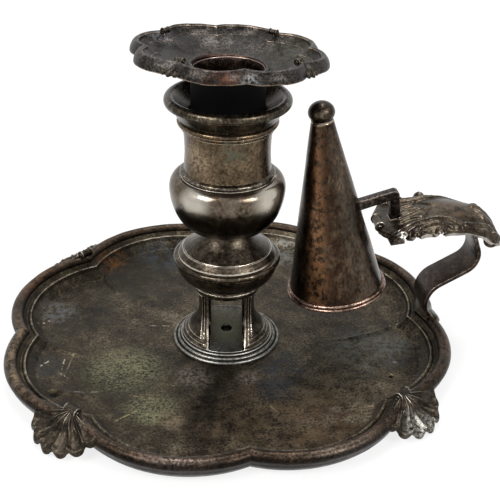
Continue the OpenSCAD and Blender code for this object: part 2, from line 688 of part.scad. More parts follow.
function unit(v) = v / norm(v);
function side(p, i) = let (
    a = p[max(i - 1, 0)], b = p[min(i + 1, len(p) - 1)], d = unit(b - a)
) [-d[1], d[0]];
module handle_strap() color("dimgray") difference() {
    translate([0, strap_w / 2, 0]) rotate([90, 0, 0]) linear_extrude(strap_w) polygon(concat(
        [for (i = [0:len(strap_line) - 1]) strap_line[i] + side(strap_line, i) * strap_t / 2],
        [for (i = [len(strap_line) - 1:-1:0]) strap_line[i] - side(strap_line, i) * strap_t / 2]
    ));
    handle_lug_block();
    tray_envelope(-1, 0);
    over_leaf();
}

module handle_lug_block() translate([lug_x, 0, lug_z]) rotate([0, 14, 0]) cylinder(r = lug_r, h = lug_t);
module handle_lug() color("gray") difference() {
    handle_lug_block();
    tray_envelope(-1, 0);
}

tray_pan();
tray_rim();
shell_front_left();
shell_front_right();
shell_back_left();
shell_back_right();
column_foot();
pierced_pillar();
pillar_collar();
knop_underside();
knop_bead();
knop_cone();
cup_bowl();
cup_bead();
cup_barrel();
cup_moulding();
cup_lip();
nozzle_tube();
nozzle_pan();
nozzle_hole_bead();
nozzle_shell_front_left();
nozzle_shell_front_right();
nozzle_shell_back_left();
nozzle_shell_back_right();
extinguisher_cone();
extinguisher_mouth_beads();
extinguisher_ball();
extinguisher_arm();
thumb_piece();
arm_socket();
handle_strap();
handle_lug();
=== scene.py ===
# Chamberstick: the fine shapes and the finish of each piece, in the measured frame.
# Lengths are millimetres unless a name says otherwise, and MM turns them to metres.
import math

import bpy
import numpy as np
from mathutils import Matrix, Vector


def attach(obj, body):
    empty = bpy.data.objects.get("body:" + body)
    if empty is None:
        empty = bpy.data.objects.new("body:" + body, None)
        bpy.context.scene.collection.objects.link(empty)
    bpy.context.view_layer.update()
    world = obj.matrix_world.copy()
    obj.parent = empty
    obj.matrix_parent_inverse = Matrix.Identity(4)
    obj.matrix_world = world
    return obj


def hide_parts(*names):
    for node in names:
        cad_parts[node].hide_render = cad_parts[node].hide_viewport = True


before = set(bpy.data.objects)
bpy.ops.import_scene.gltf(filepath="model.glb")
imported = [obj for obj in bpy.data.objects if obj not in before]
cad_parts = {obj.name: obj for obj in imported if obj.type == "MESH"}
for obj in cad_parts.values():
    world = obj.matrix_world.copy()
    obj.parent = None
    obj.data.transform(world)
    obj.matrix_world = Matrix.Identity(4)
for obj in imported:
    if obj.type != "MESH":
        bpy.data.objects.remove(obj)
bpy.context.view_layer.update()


# Drip tray: one sheet of copper raised into a dish of eight lobes, planished and silver plated.
# The floor steps up to the rim, low ridges run in from the notches, and two dents mark the left side.
MM = 0.001
FULL_TURN = 2 * math.pi
LOBES = 8
LOBE_TURN = FULL_TURN / LOBES
TRAY_R = 72.3
TRAY_NOTCH_R = 67.15
SHEET_T = 1.5
RIM_H = 8.35
ROLL_R = 2.0
ROLL_Z = RIM_H - ROLL_R
BUTT_R = TRAY_R - 2 * ROLL_R
STEP_R = TRAY_R - 6.2
STEP_Z = 5.5
FLOOR_R = STEP_R - 3.4
FOOT_HOLE_R = 1.65
TRAY_STEPS = 640


def lobe_centre(mid_r, notch_r):
    """Distance from the axis to the centres of the arcs that make a lobed edge."""
    return (mid_r**2 - notch_r**2) / (2 * (mid_r - notch_r * math.cos(LOBE_TURN / 2)))


def eased(share):
    """A smooth step from 0 to 1."""
    share = np.clip(share, 0, 1)
    return share * share * (3 - 2 * share)


def arc(x, z, r, start, end, parts):
    """Points of an arc, its angles in degrees."""
    angles = [math.radians(start + (end - start) * i / parts) for i in range(parts + 1)]
    return [(x + r * math.cos(a), z + r * math.sin(a)) for a in angles]


def softened(section, radius, parts=3, sharpest=14):
    """Rounds each corner of a closed section that turns by more than the sharpest angle in degrees."""
    soft = []
    for i, corner in enumerate(section):
        corner = Vector(corner)
        before = Vector(section[i - 1]) - corner
        after = Vector(section[(i + 1) % len(section)]) - corner
        if before.angle(-after, 0) < math.radians(sharpest):
            soft.append(tuple(corner))
            continue
        cut = min(radius, 0.45 * before.length, 0.45 * after.length)
        start = corner + before.normalized() * cut
        end = corner + after.normalized() * cut
        for k in range(parts + 1):
            t = k / parts
            soft.append(tuple(start * (1 - t) ** 2 + corner * 2 * t * (1 - t) + end * t * t))
    return soft


def between(start, end, spacing):
    """Points from start up to, and not with, end, about that far apart."""
    count = max(1, round(math.dist(start, end) / spacing))
    return [(start[0] + (end[0] - start[0]) * i / count, start[1] + (end[1] - start[1]) * i / count)
            for i in range(count)]


def points_of(piece):
    """The points of a piece's mesh, in millimetres."""
    flat = np.empty(3 * len(piece.data.vertices))
    piece.data.vertices.foreach_get("co", flat)
    return flat.reshape(-1, 3) / MM


def set_points(piece, points):
    piece.data.vertices.foreach_set("co", (points * MM).ravel())
    piece.data.update()


def select_only(piece):
    bpy.ops.object.select_all(action="DESELECT")
    piece.select_set(True)
    bpy.context.view_layer.objects.active = piece


def turned(name, section, steps=180):
    """A ring of points bent to the section, then spun round the Z axis."""
    bpy.ops.object.select_all(action="DESELECT")
    bpy.ops.mesh.primitive_circle_add(vertices=len(section), radius=MM)
    piece = bpy.context.object
    piece.name = piece.data.name = name
    set_points(piece, np.array([(r, 0, z) for r, z in section]))
    bpy.ops.object.mode_set(mode="EDIT")
    bpy.ops.mesh.select_all(action="SELECT")
    bpy.ops.mesh.spin(steps=steps, angle=FULL_TURN, center=(0, 0, 0), axis=(0, 0, 1))
    bpy.ops.mesh.select_all(action="SELECT")
    bpy.ops.mesh.remove_doubles(threshold=0.0002 * MM)
    bpy.ops.mesh.delete_loose()
    bpy.ops.mesh.select_all(action="SELECT")
    bpy.ops.mesh.normals_make_consistent(inside=False)
    bpy.ops.object.mode_set(mode="OBJECT")
    return piece


def into_lobes(piece, centre, round_r, lobed_r, turn=0.0):
    """Draws the rings of a turned piece out into lobes, from none at round_r to all at lobed_r."""
    points = points_of(piece)
    r = np.hypot(points[:, 0], points[:, 1])
    angle = np.arctan2(points[:, 1], points[:, 0])
    off = (angle - turn) % LOBE_TURN - LOBE_TURN / 2
    edge = np.maximum(r, lobed_r)
    lobed = centre * np.cos(off) + np.sqrt((edge - centre) ** 2 - (centre * np.sin(off)) ** 2)
    share = eased((r - round_r) / (lobed_r - round_r))
    points[:, :2] *= (1 + (lobed / edge - 1) * share)[:, None]
    set_points(piece, points)


def waves(points, size, seed, octaves=3):
    """Smooth unevenness from -1 to 1, made of crossed sines about that many millimetres long."""
    total = np.zeros(len(points))
    for octave in range(octaves):
        for k in range(3):
            a = seed * 1.7 + octave * 2.4 + k * 2.1
            along = points @ np.array([math.cos(a), math.sin(a), math.cos(1.3 * a + 1)])
            total += np.sin(along * FULL_TURN * 1.7**octave / size + seed + 3 * k) / (3 * 1.6**octave)
    return total


def ridge(points, start, bend, end, height, width, fade=2.2):
    """Height of a low ridge that runs along a curve in plan and fades to its end."""
    steps = np.linspace(0, 1, 25)[:, None]
    start, bend, end = (np.array(p) for p in (start, bend, end))
    line = start * (1 - steps) ** 2 + bend * 2 * steps * (1 - steps) + end * steps**2
    near = np.full(len(points), 1e9)
    share = np.zeros(len(points))
    for i in range(24):
        leg = line[i + 1] - line[i]
        t = np.clip((points[:, :2] - line[i]) @ leg / (leg @ leg), 0, 1)
        gap = np.hypot(*(points[:, :2] - line[i] - t[:, None] * leg).T)
        share = np.where(gap < near, (i + t) / 24, share)
        near = np.minimum(near, gap)
    return height * np.exp(-((near / width) ** 2)) * eased((1 - share) * fade)


def mark_wear(piece, reach=0.6, rounds=1, deepest=0.0):
    """Writes how far each point stands proud (towards 1) or lies in a hollow (towards 0)."""
    mesh = piece.data
    points = points_of(piece)
    normals = np.empty(3 * len(points))
    mesh.vertex_normals.foreach_get("vector", normals)
    normals = normals.reshape(-1, 3)
    ends = np.empty(2 * len(mesh.edges), dtype=int)
    mesh.edges.foreach_get("vertices", ends)
    first, second = ends.reshape(-1, 2).T
    leg = points[first] - points[second]
    square = np.maximum((leg**2).sum(1), 1e-9)
    bend = np.zeros(len(points))
    np.add.at(bend, first, 2 * (normals[first] * leg).sum(1) / square)
    np.add.at(bend, second, -2 * (normals[second] * leg).sum(1) / square)
    degree = np.maximum(np.bincount(ends, minlength=len(points)), 1)
    bend /= degree
    for _ in range(rounds):
        spread = bend.copy()
        np.add.at(spread, first, bend[second])
        np.add.at(spread, second, bend[first])
        bend = spread / (degree + 1)
    worn = mesh.attributes.new("wear", "FLOAT", "POINT")
    worn.data.foreach_set("value", np.maximum(0.5 + 0.5 * np.tanh(bend * reach), deepest))


def colour(code):
    """An sRGB hex code as the linear colour that a socket takes."""
    parts = [int(code[i:i + 2], 16) / 255 for i in (0, 2, 4)]
    return tuple(c / 12.92 if c <= 0.04045 else ((c + 0.055) / 1.055) ** 2.4 for c in parts) + (1,)


def add(tree, kind, links=None, stops=None, **settings):
    """Adds a node with its settings, and fills or links its inputs by name or number."""
    made = tree.nodes.new(kind)
    for key, value in settings.items():
        setattr(made, key, value)
    for key, value in (links or {}).items():
        if isinstance(value, bpy.types.NodeSocket):
            tree.links.new(value, made.inputs[key])
        else:
            made.inputs[key].default_value = value
    for k, (place, tone) in enumerate(stops or []):
        stop = made.color_ramp.elements[k] if k < 2 else made.color_ramp.elements.new(place)
        stop.position = place
        stop.color = colour(tone)
    return made


def mixed(tree, share, below, above, blend="MIX"):
    """Lays one colour over another by a share."""
    return add(tree, "ShaderNodeMix", {0: share, 6: below, 7: above},
               data_type="RGBA", blend_type=blend).outputs[2]


def risen(tree, value, low, high, bottom=0.0, top=1.0):
    """Maps a value from low..high to bottom..top with soft ends."""
    return add(tree, "ShaderNodeMapRange", {0: value, 1: low, 2: high, 3: bottom, 4: top},
               interpolation_type="SMOOTHSTEP").outputs[0]


def reckoned(tree, what, a, b, c=0.0):
    return add(tree, "ShaderNodeMath", {0: a, 1: b, 2: c}, operation=what).outputs[0]


def old_plate(name, tones, worn, grime, rough=(0.34, 0.52), metallic=0.92, mottle=13.0, grain=0.75,
              wear=(0.6, 0.86), hollow=(0.44, 0.2), wear_share=0.85, dapple=0.5, stretch=(1, 1, 1),
              patches=(), pits=(), scratches=(), painted_shade_under=None, relief=0.06):
    """Silver plate over copper or brass that has tarnished for a century.
    The tarnish is uneven in a few sizes of cloud, thin and bright where hands and cloths rub it,
    thick and matt in the hollows. Patches are (x, y, z, reach, colour, share, break-up size),
    scratches (x0, y0, x1, y1, width, colour, share) in plan, and painted_shade_under (low z, high z, share)
    is painted shade that darkens the colour below low z and fades out by high z."""
    material = bpy.data.materials.new(name)
    material.use_nodes = True
    tree = material.node_tree
    shader = tree.nodes["Principled BSDF"]
    place = add(tree, "ShaderNodeTexCoord").outputs["Object"]
    drawn = add(tree, "ShaderNodeMapping", {"Vector": place, "Scale": stretch}).outputs[0]

    def cloud(size, detail=4.0, at=drawn, rougher=0.6):
        return add(tree, "ShaderNodeTexNoise", {
            "Vector": at, "Scale": 1 / (size * MM), "Detail": detail, "Roughness": rougher}).outputs[0]

    wide = cloud(mottle, 7.0)
    middle = cloud(mottle / 4.5, 4.0)
    fine = cloud(grain, 2.0, rougher=0.7)
    blotch = reckoned(tree, "MULTIPLY_ADD", middle, 0.45, reckoned(tree, "MULTIPLY", wide, 0.55))
    tarnish = add(tree, "ShaderNodeValToRGB", {0: blotch}, stops=tones).outputs[0]
    speckle = add(tree, "ShaderNodeValToRGB", {0: fine},
                  stops=[(0.38, "3c3c3c"), (0.6, "ffffff")]).outputs[0]
    tone = mixed(tree, dapple, tarnish, speckle, "MULTIPLY")

    for x, y, z, reach, patch_colour, share, size in patches:
        gap = add(tree, "ShaderNodeVectorMath", {0: place, 1: (x * MM, y * MM, z * MM)},
                  operation="DISTANCE").outputs["Value"]
        near = risen(tree, gap, reach * MM, 0.25 * reach * MM)
        broken = risen(tree, cloud(size, 5.0, place, 0.75), 0.42, 0.58) if size else 1.0
        tone = mixed(tree, reckoned(tree, "MULTIPLY", reckoned(tree, "MULTIPLY", near, broken), share),
                     tone, colour(patch_colour))

    flat = add(tree, "ShaderNodeVectorMath", {0: place, 1: (1, 1, 0)}, operation="MULTIPLY").outputs[0]
    for x0, y0, x1, y1, width, line_colour, share in scratches:
        start, leg = Vector((x0, y0, 0)) * MM, Vector((x1 - x0, y1 - y0, 0)) * MM
        way = add(tree, "ShaderNodeVectorMath", {0: flat, 1: start}, operation="SUBTRACT").outputs[0]
        along = add(tree, "ShaderNodeVectorMath", {0: way, 1: leg / leg.length_squared},
                    operation="DOT_PRODUCT").outputs["Value"]
        foot = add(tree, "ShaderNodeVectorMath", {
            0: leg, "Scale": add(tree, "ShaderNodeClamp", {0: along}).outputs[0]}, operation="SCALE").outputs[0]
        gap = add(tree, "ShaderNodeVectorMath", {0: way, 1: foot}, operation="DISTANCE").outputs["Value"]
        drawn_line = reckoned(tree, "MULTIPLY", risen(tree, gap, width * MM, 0.3 * width * MM),
                              risen(tree, cloud(1.6, 3.0, place), 0.46, 0.56))
        tone = mixed(tree, reckoned(tree, "MULTIPLY", drawn_line, share), tone, colour(line_colour))

    # Painted shade: the colour is darkened below a given height, standing in for the shade and dark reflections that
    # low surfaces take
    if painted_shade_under:
        height_z = add(tree, "ShaderNodeSeparateXYZ", {0: place}).outputs["Z"]
        shade = reckoned(tree, "MULTIPLY", risen(tree, height_z, painted_shade_under[1] * MM, painted_shade_under[0] * MM),
                         painted_shade_under[2])
        tone = mixed(tree, shade, tone, colour("2b2622"), "MULTIPLY")

    proud = add(tree, "ShaderNodeAttribute", attribute_name="wear").outputs["Fac"]
    uneven = reckoned(tree, "MULTIPLY_ADD", middle, 0.3, reckoned(tree, "MULTIPLY", fine, 0.22))
    rubbed = reckoned(tree, "ADD", proud, reckoned(tree, "SUBTRACT", uneven, 0.26))
    bare = reckoned(tree, "MULTIPLY", risen(tree, rubbed, *wear), wear_share)
    tone = mixed(tree, bare, tone, colour(worn))
    sunk = risen(tree, rubbed, *hollow)
    tone = mixed(tree, reckoned(tree, "MULTIPLY", sunk, 0.85), tone, colour(grime))

    dark_spots = 0.0
    for x, y, z, reach in pits:
        gap = add(tree, "ShaderNodeVectorMath", {0: place, 1: (x * MM, y * MM, z * MM)},
                  operation="DISTANCE").outputs["Value"]
        dark_spots = reckoned(tree, "MAXIMUM", dark_spots, risen(tree, gap, reach * MM, 0.6 * reach * MM))
    if pits:
        tone = mixed(tree, dark_spots, tone, colour("060403"))

    tree.links.new(tone, shader.inputs["Base Color"])
    matt = reckoned(tree, "ADD", risen(tree, blotch, 0.3, 0.7, rough[0], rough[1]),
                    reckoned(tree, "MULTIPLY", sunk, 0.2))
    tree.links.new(reckoned(tree, "SUBTRACT", matt, reckoned(tree, "MULTIPLY", bare, 0.12)),
                   shader.inputs["Roughness"])
    shader.inputs["Metallic"].default_value = metallic
    height = reckoned(tree, "MULTIPLY_ADD", fine, 0.5, middle)
    tree.links.new(add(tree, "ShaderNodeBump", {
        "Strength": 1.0, "Distance": relief * MM, "Height": height}).outputs[0], shader.inputs["Normal"])
    return material


def fit(piece, node, body, material, angle=38, reach=0.6, rounds=1, deepest=0.0):
    """Smooths a finished piece, marks its wear, gives it its finish and puts it in its node's place."""
    select_only(piece)
    bpy.ops.object.shade_smooth_by_angle(angle=math.radians(angle))
    mark_wear(piece, reach, rounds, deepest)
    piece.data.materials.clear()
    piece.data.materials.append(material)
    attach(piece, body)
    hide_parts(node)
    return piece


TRAY_C = lobe_centre(TRAY_R, TRAY_NOTCH_R)
tray_upper = (
    between((FOOT_HOLE_R, SHEET_T), (20, SHEET_T), 2.6)
    + between((20, SHEET_T), (FLOOR_R - 1.2, SHEET_T), 0.72)
    + softened([(FLOOR_R - 1.2, SHEET_T), (FLOOR_R - 0.3, SHEET_T + 0.16), (FLOOR_R + 0.4, SHEET_T + 0.14),
                (STEP_R - 1.5, 3.3), (STEP_R - 0.6, 4.2), (STEP_R - 0.2, STEP_Z + 0.1),
                (STEP_R + 0.45, STEP_Z + 0.1), (STEP_R + 0.95, STEP_Z - 0.5), (BUTT_R - 0.8, STEP_Z - 0.45),
                (BUTT_R, ROLL_Z)], 0.4)[4:-4]
)
tray_under = [(BUTT_R + 0.3, ROLL_Z - SHEET_T - 0.9), (STEP_R + 1.0, STEP_Z - SHEET_T + 0.2),
              (STEP_R - 0.3, 2.2), (FLOOR_R + 0.6, 0), (50, 0), (FOOT_HOLE_R, 0)]
tray = turned("tray_dish", tray_upper + [(BUTT_R, ROLL_Z), (BUTT_R + 0.9, ROLL_Z - 1.15)] + tray_under,
              TRAY_STEPS)
into_lobes(tray, TRAY_C, 46, FLOOR_R)

# The ridges are the edges of the raised lobes, carried on past the notches
floor_points = points_of(tray)
top_side = (floor_points[:, 2] > SHEET_T - 0.01) & (floor_points[:, 2] < SHEET_T + 1.0)
rise = np.zeros(len(floor_points))
for start, bend, end, height, width in [
    ((-61.2, 4.9), (-53.4, -7.2), (-41.6, -7.8), 0.75, 0.75),
    ((-41.6, 47.6), (-38.0, 35.0), (-31.8, 23.8), 0.85, 0.75),
    ((60.8, 5.2), (49.0, -7.4), (30.2, -5.4), 0.6, 0.75),
    ((-52.5, -25.2), (-46.0, -28.6), (-39.8, -29.6), 0.5, 0.7),
    ((43.2, -38.6), (40.0, -41.6), (36.0, -41.6), 0.5, 0.7),
]:
    rise += ridge(floor_points, start, bend, end, height, width)
for x, y, reach, depth in [(-54.6, -26.3, 1.7, 0.9), (-52.4, -17.4, 1.8, 0.45), (48.5, -27.2, 1.0, 0.5)]:
    gap = np.hypot(floor_points[:, 0] - x, floor_points[:, 1] - y)
    rise += depth * (0.35 * np.exp(-(((gap - 1.5 * reach) / (0.5 * reach)) ** 2)) - np.exp(-((gap / reach) ** 2)))
rise += 0.13 * waves(floor_points, 21, 4) * eased((floor_points[:, 0] ** 2 + floor_points[:, 1] ** 2 - 400) / 400)
floor_points[:, 2] += np.where(top_side, rise, 0)
set_points(tray, floor_points)

# Silver plate gone to brown and olive sulphide, with grey-blue haze, verdigris and scraped spots
tray_plate = old_plate(
    "tarnished_silver_plate",
    tones=[(0.36, "211c14"), (0.45, "3a3227"), (0.54, "534a3b"), (0.66, "756b5a")],
    worn="c9bca8", grime="15120d", mottle=17.0, rough=(0.36, 0.56), dapple=0.85, relief=0.1,
    wear=(0.74, 1.16), wear_share=0.9,
    patches=[
        (-55.6, 18.9, 1.5, 9.0, "74767a", 0.65, 1.8), (-58.1, -12.2, 1.5, 9.0, "33393d", 0.6, 3.0),
        (43.6, -12.5, 1.5, 18.0, "5c605d", 0.55, 2.2), (53.0, -10.6, 1.5, 9.0, "6a6e6b", 0.5, 1.8),
        (8.0, -46.0, 1.5, 28.0, "6b5a45", 0.45, 3.0), (34.0, -30.0, 1.5, 24.0, "635a47", 0.4, 3.0),
        (-56.0, 4.0, 1.5, 40.0, "221d15", 0.45, 0), (-60.0, 6.0, 2.5, 10.0, "2a2720", 0.4, 5.0),
        (-34.0, 46.0, 1.5, 34.0, "1d1912", 0.7, 0), (-50.0, -38.0, 1.5, 34.0, "211c14", 0.45, 0),
        (16.5, -19.4, 1.5, 12.0, "28313a", 0.7, 3.4), (25.5, 52.2, 1.5, 12.0, "6f7371", 0.6, 3.0),
        (-16.9, 53.7, 1.5, 14.0, "39434b", 0.6, 4.0), (-23.4, 45.3, 1.5, 16.0, "1f1c18", 0.5, 6.0),
        (27.0, -46.8, 1.5, 18.0, "46311f", 0.45, 5.0), (-37.6, 50.2, 3.0, 9.0, "5b3a1f", 0.7, 3.0),
        (-33.2, -16.2, 1.5, 17.0, "77765a", 0.7, 0.9), (-25.5, -36.0, 1.5, 11.0, "7c7b5e", 0.7, 0.8),
        (-35.4, -23.8, 1.5, 12.0, "14150d", 0.8, 0.7), (-20.2, -41.7, 1.5, 5.4, "776855", 0.9, 6.0),
        (-9.0, -47.0, 1.5, 6.0, "6c5d4a", 0.7, 5.0),
        (-26.2, -40.6, 1.5, 4.6, "76765a", 0.8, 1.6), (-11.9, -21.9, 1.5, 8.0, "8f857b", 0.55, 1.2),
        (4.3, -24.0, 1.5, 5.6, "a09488", 0.6, 1.1), (27.2, -42.6, 1.5, 4.2, "15191d", 0.8, 3.0),
        (12.0, -30.0, 1.5, 9.0, "39424b", 0.6, 1.6),
    ],
    scratches=[
        (-61.0, 11.5, -57.5, 14.8, 0.55, "c9c2b2", 0.6), (-60.0, -12.5, -57.0, -9.5, 0.5, "bdb8ac", 0.55),
        (-52.0, -9.0, -52.6, -16.0, 0.4, "9b9689", 0.7), (-52.6, -16.0, -50.6, -18.8, 0.4, "9b9689", 0.7),
        (-51.0, -25.5, -41.0, -26.8, 0.4, "8f8776", 0.5), (-36.0, -41.0, -30.2, -37.0, 0.45, "8f8860", 0.6),
        (-31.8, -29.1, -25.6, -31.2, 0.5, "7d6c55", 0.7), (-24.5, 8.2, -18.4, 7.4, 0.35, "8d8576", 0.8),
        (-48.8, -4.9, -51.2, -15.5, 0.3, "7d7668", 0.5), (51.4, -20.2, 51.9, -20.4, 0.9, "8f9491", 0.5),
        (8.0, -36.5, 12.5, -44.0, 0.35, "877b68", 0.7), (36.0, -6.4, 58.0, 1.0, 0.4, "7a7a66", 0.6),
    ],
    pits=[(-54.6, -26.3, 1.0, 1.5), (48.5, -27.2, 1.3, 0.9), (-24.9, -17.9, 1.5, 0.55)],
)
fit(tray, "tray_pan", "stand", tray_plate, reach=0.8, deepest=0.4)


# Rim: a drawn roll of plated copper, filled and soldered along the lobed edge of the tray.
# Hands have rubbed its top to the copper, and its upright side is darkened with painted shade.
rim_section = softened(
    [(STEP_R + 0.2, 0), (TRAY_R - 2.8, 1.3), (TRAY_R - 0.9, 3.6)]
    + arc(TRAY_R - ROLL_R, ROLL_Z, ROLL_R, -35, 180, 22)
    + [(BUTT_R + 0.9, ROLL_Z - 1.15), (BUTT_R + 0.3, ROLL_Z - SHEET_T - 0.9),
       (STEP_R + 1.0, STEP_Z - SHEET_T + 0.2), (STEP_R - 0.3, 2.2), (FLOOR_R + 0.6, 0)], 0.8, 4)
rim = turned("tray_roll", rim_section, TRAY_STEPS)
into_lobes(rim, TRAY_C, 46, FLOOR_R)
rim_points = points_of(rim)
rim_points[:, 2] += 0.1 * waves(rim_points, 17, 9) * eased((rim_points[:, 2] - 1.5) / 2)
set_points(rim, rim_points)

# The plating is worn through to warm brown copper along the top of the roll
rim_plate = old_plate(
    "worn_copper_edge",
    tones=[(0.34, "261e17"), (0.46, "3f3328"), (0.56, "58483b"), (0.68, "75614f")],
    worn="c3ab96", grime="17120e", mottle=9.0, grain=0.6, wear=(0.72, 0.95), rough=(0.3, 0.5), dapple=0.8,
    # painted_shade_under paints shade on the roll's outer wall below its top
    painted_shade_under=(6.8, 8.8, 0.8), relief=0.09,
    patches=[(-19, -64, 6, 14, "8f8078", 0.45, 0.8), (26, -66, 6, 16, "857a70", 0.4, 0.8),
             (-66, -14, 9, 30, "8a7860", 0.6, 2.0), (70, -22, 6, 12, "8a7464", 0.4, 1.6), (-64, 30, 6, 16, "6b4a31", 0.5, 2.2)],
)
fit(rim, "tray_rim", "stand", rim_plate, rounds=2, deepest=0.3)


# Shell ornaments: four cast fans of hollow flutes, soldered over every other notch of the rim.
# Each springs from a rolled scroll and falls outwards, and its scalloped edge is rubbed bright.
SHELL_TURNS = {"shell_back_right": 45, "shell_back_left": 135, "shell_front_left": 223.2, "shell_front_right": 315}
SHELL_LEN = 13.6
SHELL_FALL = math.radians(26)
SHELL_ROOT = Vector((TRAY_NOTCH_R - ROLL_R, 0, RIM_H))


def spool(name, r, width):
    """A rolled scroll across Y: drawn in at the middle, with a ring and an eye at each end."""
    half = [(0, 0), (0.3, 0), (0.38, 0.12), (0.52, 0.12), (0.62, 0), (0.95, 0.03), (1.08, 0.14),
            (1.05, 0.3), (0.9, 0.48), (0.86, 0.8)]
    section = [(r * a, r * b - width / 2) for a, b in half]
    section += [(a, -b) for a, b in reversed(section)]
    piece = turned(name, softened(section, 0.1 * r), 64)
    piece.data.transform(Matrix.Rotation(math.radians(90), 4, "X"))
    return piece


def fan(name, flutes, step, length, thickness, depth, scallop, scroll_r, scroll_w):
    """A fan of hollow flutes between soft ribs, from a grid bent round its root, with its scroll."""
    across, along = 20 * flutes, 44
    bpy.ops.object.select_all(action="DESELECT")
    bpy.ops.mesh.primitive_grid_add(x_subdivisions=along, y_subdivisions=across, size=2 * MM)
    piece = bpy.context.object
    piece.name = piece.data.name = name
    grid = points_of(piece)
    reach = (grid[:, 0] + 1) / 2
    turn = grid[:, 1] * flutes / 2
    local = 2 * (turn - np.round(turn))
    edge = length - scallop * (1 - np.cos(math.pi / 2 * local))
    r = 0.5 + (edge - 0.5) * reach
    angle = np.radians(turn * step)
    rib = 0.35 * local**2 + 0.65 * np.exp(-(((1 - np.abs(local)) / 0.3) ** 2)) - 0.75
    crest = 0.35 * depth * np.exp(-(((reach - 0.92) / 0.05) ** 2)) - 0.75 * thickness * eased((reach - 0.95) / 0.05) ** 2
    sides = np.abs(turn) / (flutes / 2)
    over_roll = 0.11 * length * (1 - eased((r * np.cos(angle) / length - 0.24) / 0.3))
    height = depth * rib * np.minimum(1, 2.2 * reach) + crest + over_roll
    height -= 1.2 * thickness * eased((sides - 0.9) / 0.1) ** 2
    set_points(piece, np.column_stack([r * np.cos(angle), r * np.sin(angle), height]))
    select_only(piece)
    wall = piece.modifiers.new("wall", "SOLIDIFY")
    wall.thickness = thickness * MM
    wall.offset = -1
    bpy.ops.object.modifier_apply(modifier=wall.name)
    scroll = spool(name + "_scroll", scroll_r, scroll_w)
    scroll.data.transform(Matrix.Translation((0, 0, 0.06 * length * MM)))
    select_only(scroll)
    piece.select_set(True)
    bpy.context.view_layer.objects.active = piece
    bpy.ops.object.join()
    bpy.ops.object.mode_set(mode="EDIT")
    bpy.ops.mesh.select_all(action="SELECT")
    bpy.ops.mesh.normals_make_consistent(inside=False)
    bpy.ops.object.mode_set(mode="OBJECT")
    return piece


def copied(piece, name, matrix):
    """A copy with its own mesh, moved to its place."""
    twin = bpy.data.objects.new(name, piece.data.copy())
    twin.data.name = name
    bpy.context.scene.collection.objects.link(twin)
    twin.data.transform(matrix)
    return twin


# Cast plate, dull brown in the flutes and pink-white at the tips
shell_plate = old_plate(
    "cast_shell_plate",
    tones=[(0.34, "1d1812"), (0.46, "302a22"), (0.56, "453d33"), (0.68, "5f564a")],
    worn="a79f93", grime="120f0a", mottle=5.0, grain=0.5, wear=(0.66, 0.96), hollow=(0.42, 0.2), rough=(0.36, 0.5),
    relief=0.06, dapple=0.6,
    patches=[(52, -57, 5, 9, "a5a39d", 0.7, 0.9), (-52, -56, 5, 8, "5b5245", 0.5, 1.2)])
shell_blank = fan("shell_blank", 7, 23.6, SHELL_LEN, 1.5, 1.05, 1.3, 1.4, 4.8)
for node, turn in SHELL_TURNS.items():
    seat = (Matrix.Rotation(math.radians(turn), 4, "Z") @ Matrix.Translation(SHELL_ROOT * MM)
            @ Matrix.Rotation(SHELL_FALL, 4, "Y"))
    fit(copied(shell_blank, node.replace("shell", "fluted_shell"), seat), node, "stand", shell_plate,
        reach=0.35)
bpy.data.objects.remove(shell_blank)


# Column foot: a turned plate of three fine rings that stands on the tray floor, with a drain hole.
# Its rings are rubbed pale on the left, and the plate inside the pillar is greenish grey.
FLOOR_Z = 1.5
FOOT_TOP = 4.5
foot_section = softened(
    [(FOOT_HOLE_R, FLOOR_Z), (17.0, FLOOR_Z)] + arc(16.65, FLOOR_Z + 0.55, 0.55, -80, 120, 8)
    + [(16.0, FLOOR_Z + 0.85)] + arc(15.3, FLOOR_Z + 1.15, 0.62, -5, 125, 7)
    + [(14.75, FLOOR_Z + 1.7)] + arc(14.45, FLOOR_Z + 2.1, 0.38, -20, 120, 6)
    + [(14.15, FLOOR_Z + 2.5), (14.1, FOOT_TOP)] + between((13.7, FOOT_TOP), (2.0, FOOT_TOP), 1.2)
    + [(2.0, FOOT_TOP), (FOOT_HOLE_R, FOOT_TOP - 0.3)], 0.25)
foot = turned("foot_plate", foot_section, 256)
column_plate = old_plate(
    "turned_brown_plate",
    tones=[(0.34, "1f1a14"), (0.46, "393128"), (0.56, "534a3e"), (0.68, "736a5c")],
    worn="c3b9aa", grime="0f0c09", mottle=8.0, grain=0.6, wear=(0.6, 0.82), rough=(0.24, 0.42), dapple=0.65)
# The same plate, greenish and matt inside the pillar and chalky grey where the rings are rubbed
foot_metal = old_plate(
    "stained_foot_plate",
    tones=[(0.34, "1d1a13"), (0.46, "34302a"), (0.56, "4a473e"), (0.68, "605e55")],
    worn="9f9d96", grime="0f0c09", mottle=7.0, grain=0.6, wear=(0.62, 0.92), rough=(0.34, 0.5), dapple=0.75,
    patches=[(0, 0, 4.5, 13, "3d3c28", 0.85, 0), (0, 4, 4.5, 7, "242417", 0.6, 0.8),
             (-9, -14, 3, 9, "8f8f8a", 0.6, 0.8), (10, -12, 3, 7, "6f7270", 0.5, 0.9)],
    pits=[(0, 0, 4.5, 2.3)])
fit(foot, "column_foot", "stand", foot_metal)


# Pierced pillar: a waisted tube with a tall opening front and back, which leaves two posts.
# Each post is framed by three nested reeds that turn their corners and follow the foot and the collar.
PILLAR_TOP = 22.5
PILLAR_H = PILLAR_TOP - FOOT_TOP
PILLAR_WALL = 1.3
WINDOW_HALF = 5.8
WINDOW_TURN = math.radians(-6)
WAIST_SHARE = 0.6


def pillar_side(t):
    """Radius of the pillar from its foot at 0 to its top at 1."""
    low = 9.0 + (14.2 - 9.0) * np.maximum(1 - t / WAIST_SHARE, 0) ** 2.4
    high = (10.6 - 9.0) * np.maximum((t - WAIST_SHARE) / (1 - WAIST_SHARE), 0) ** 2
    return low + high


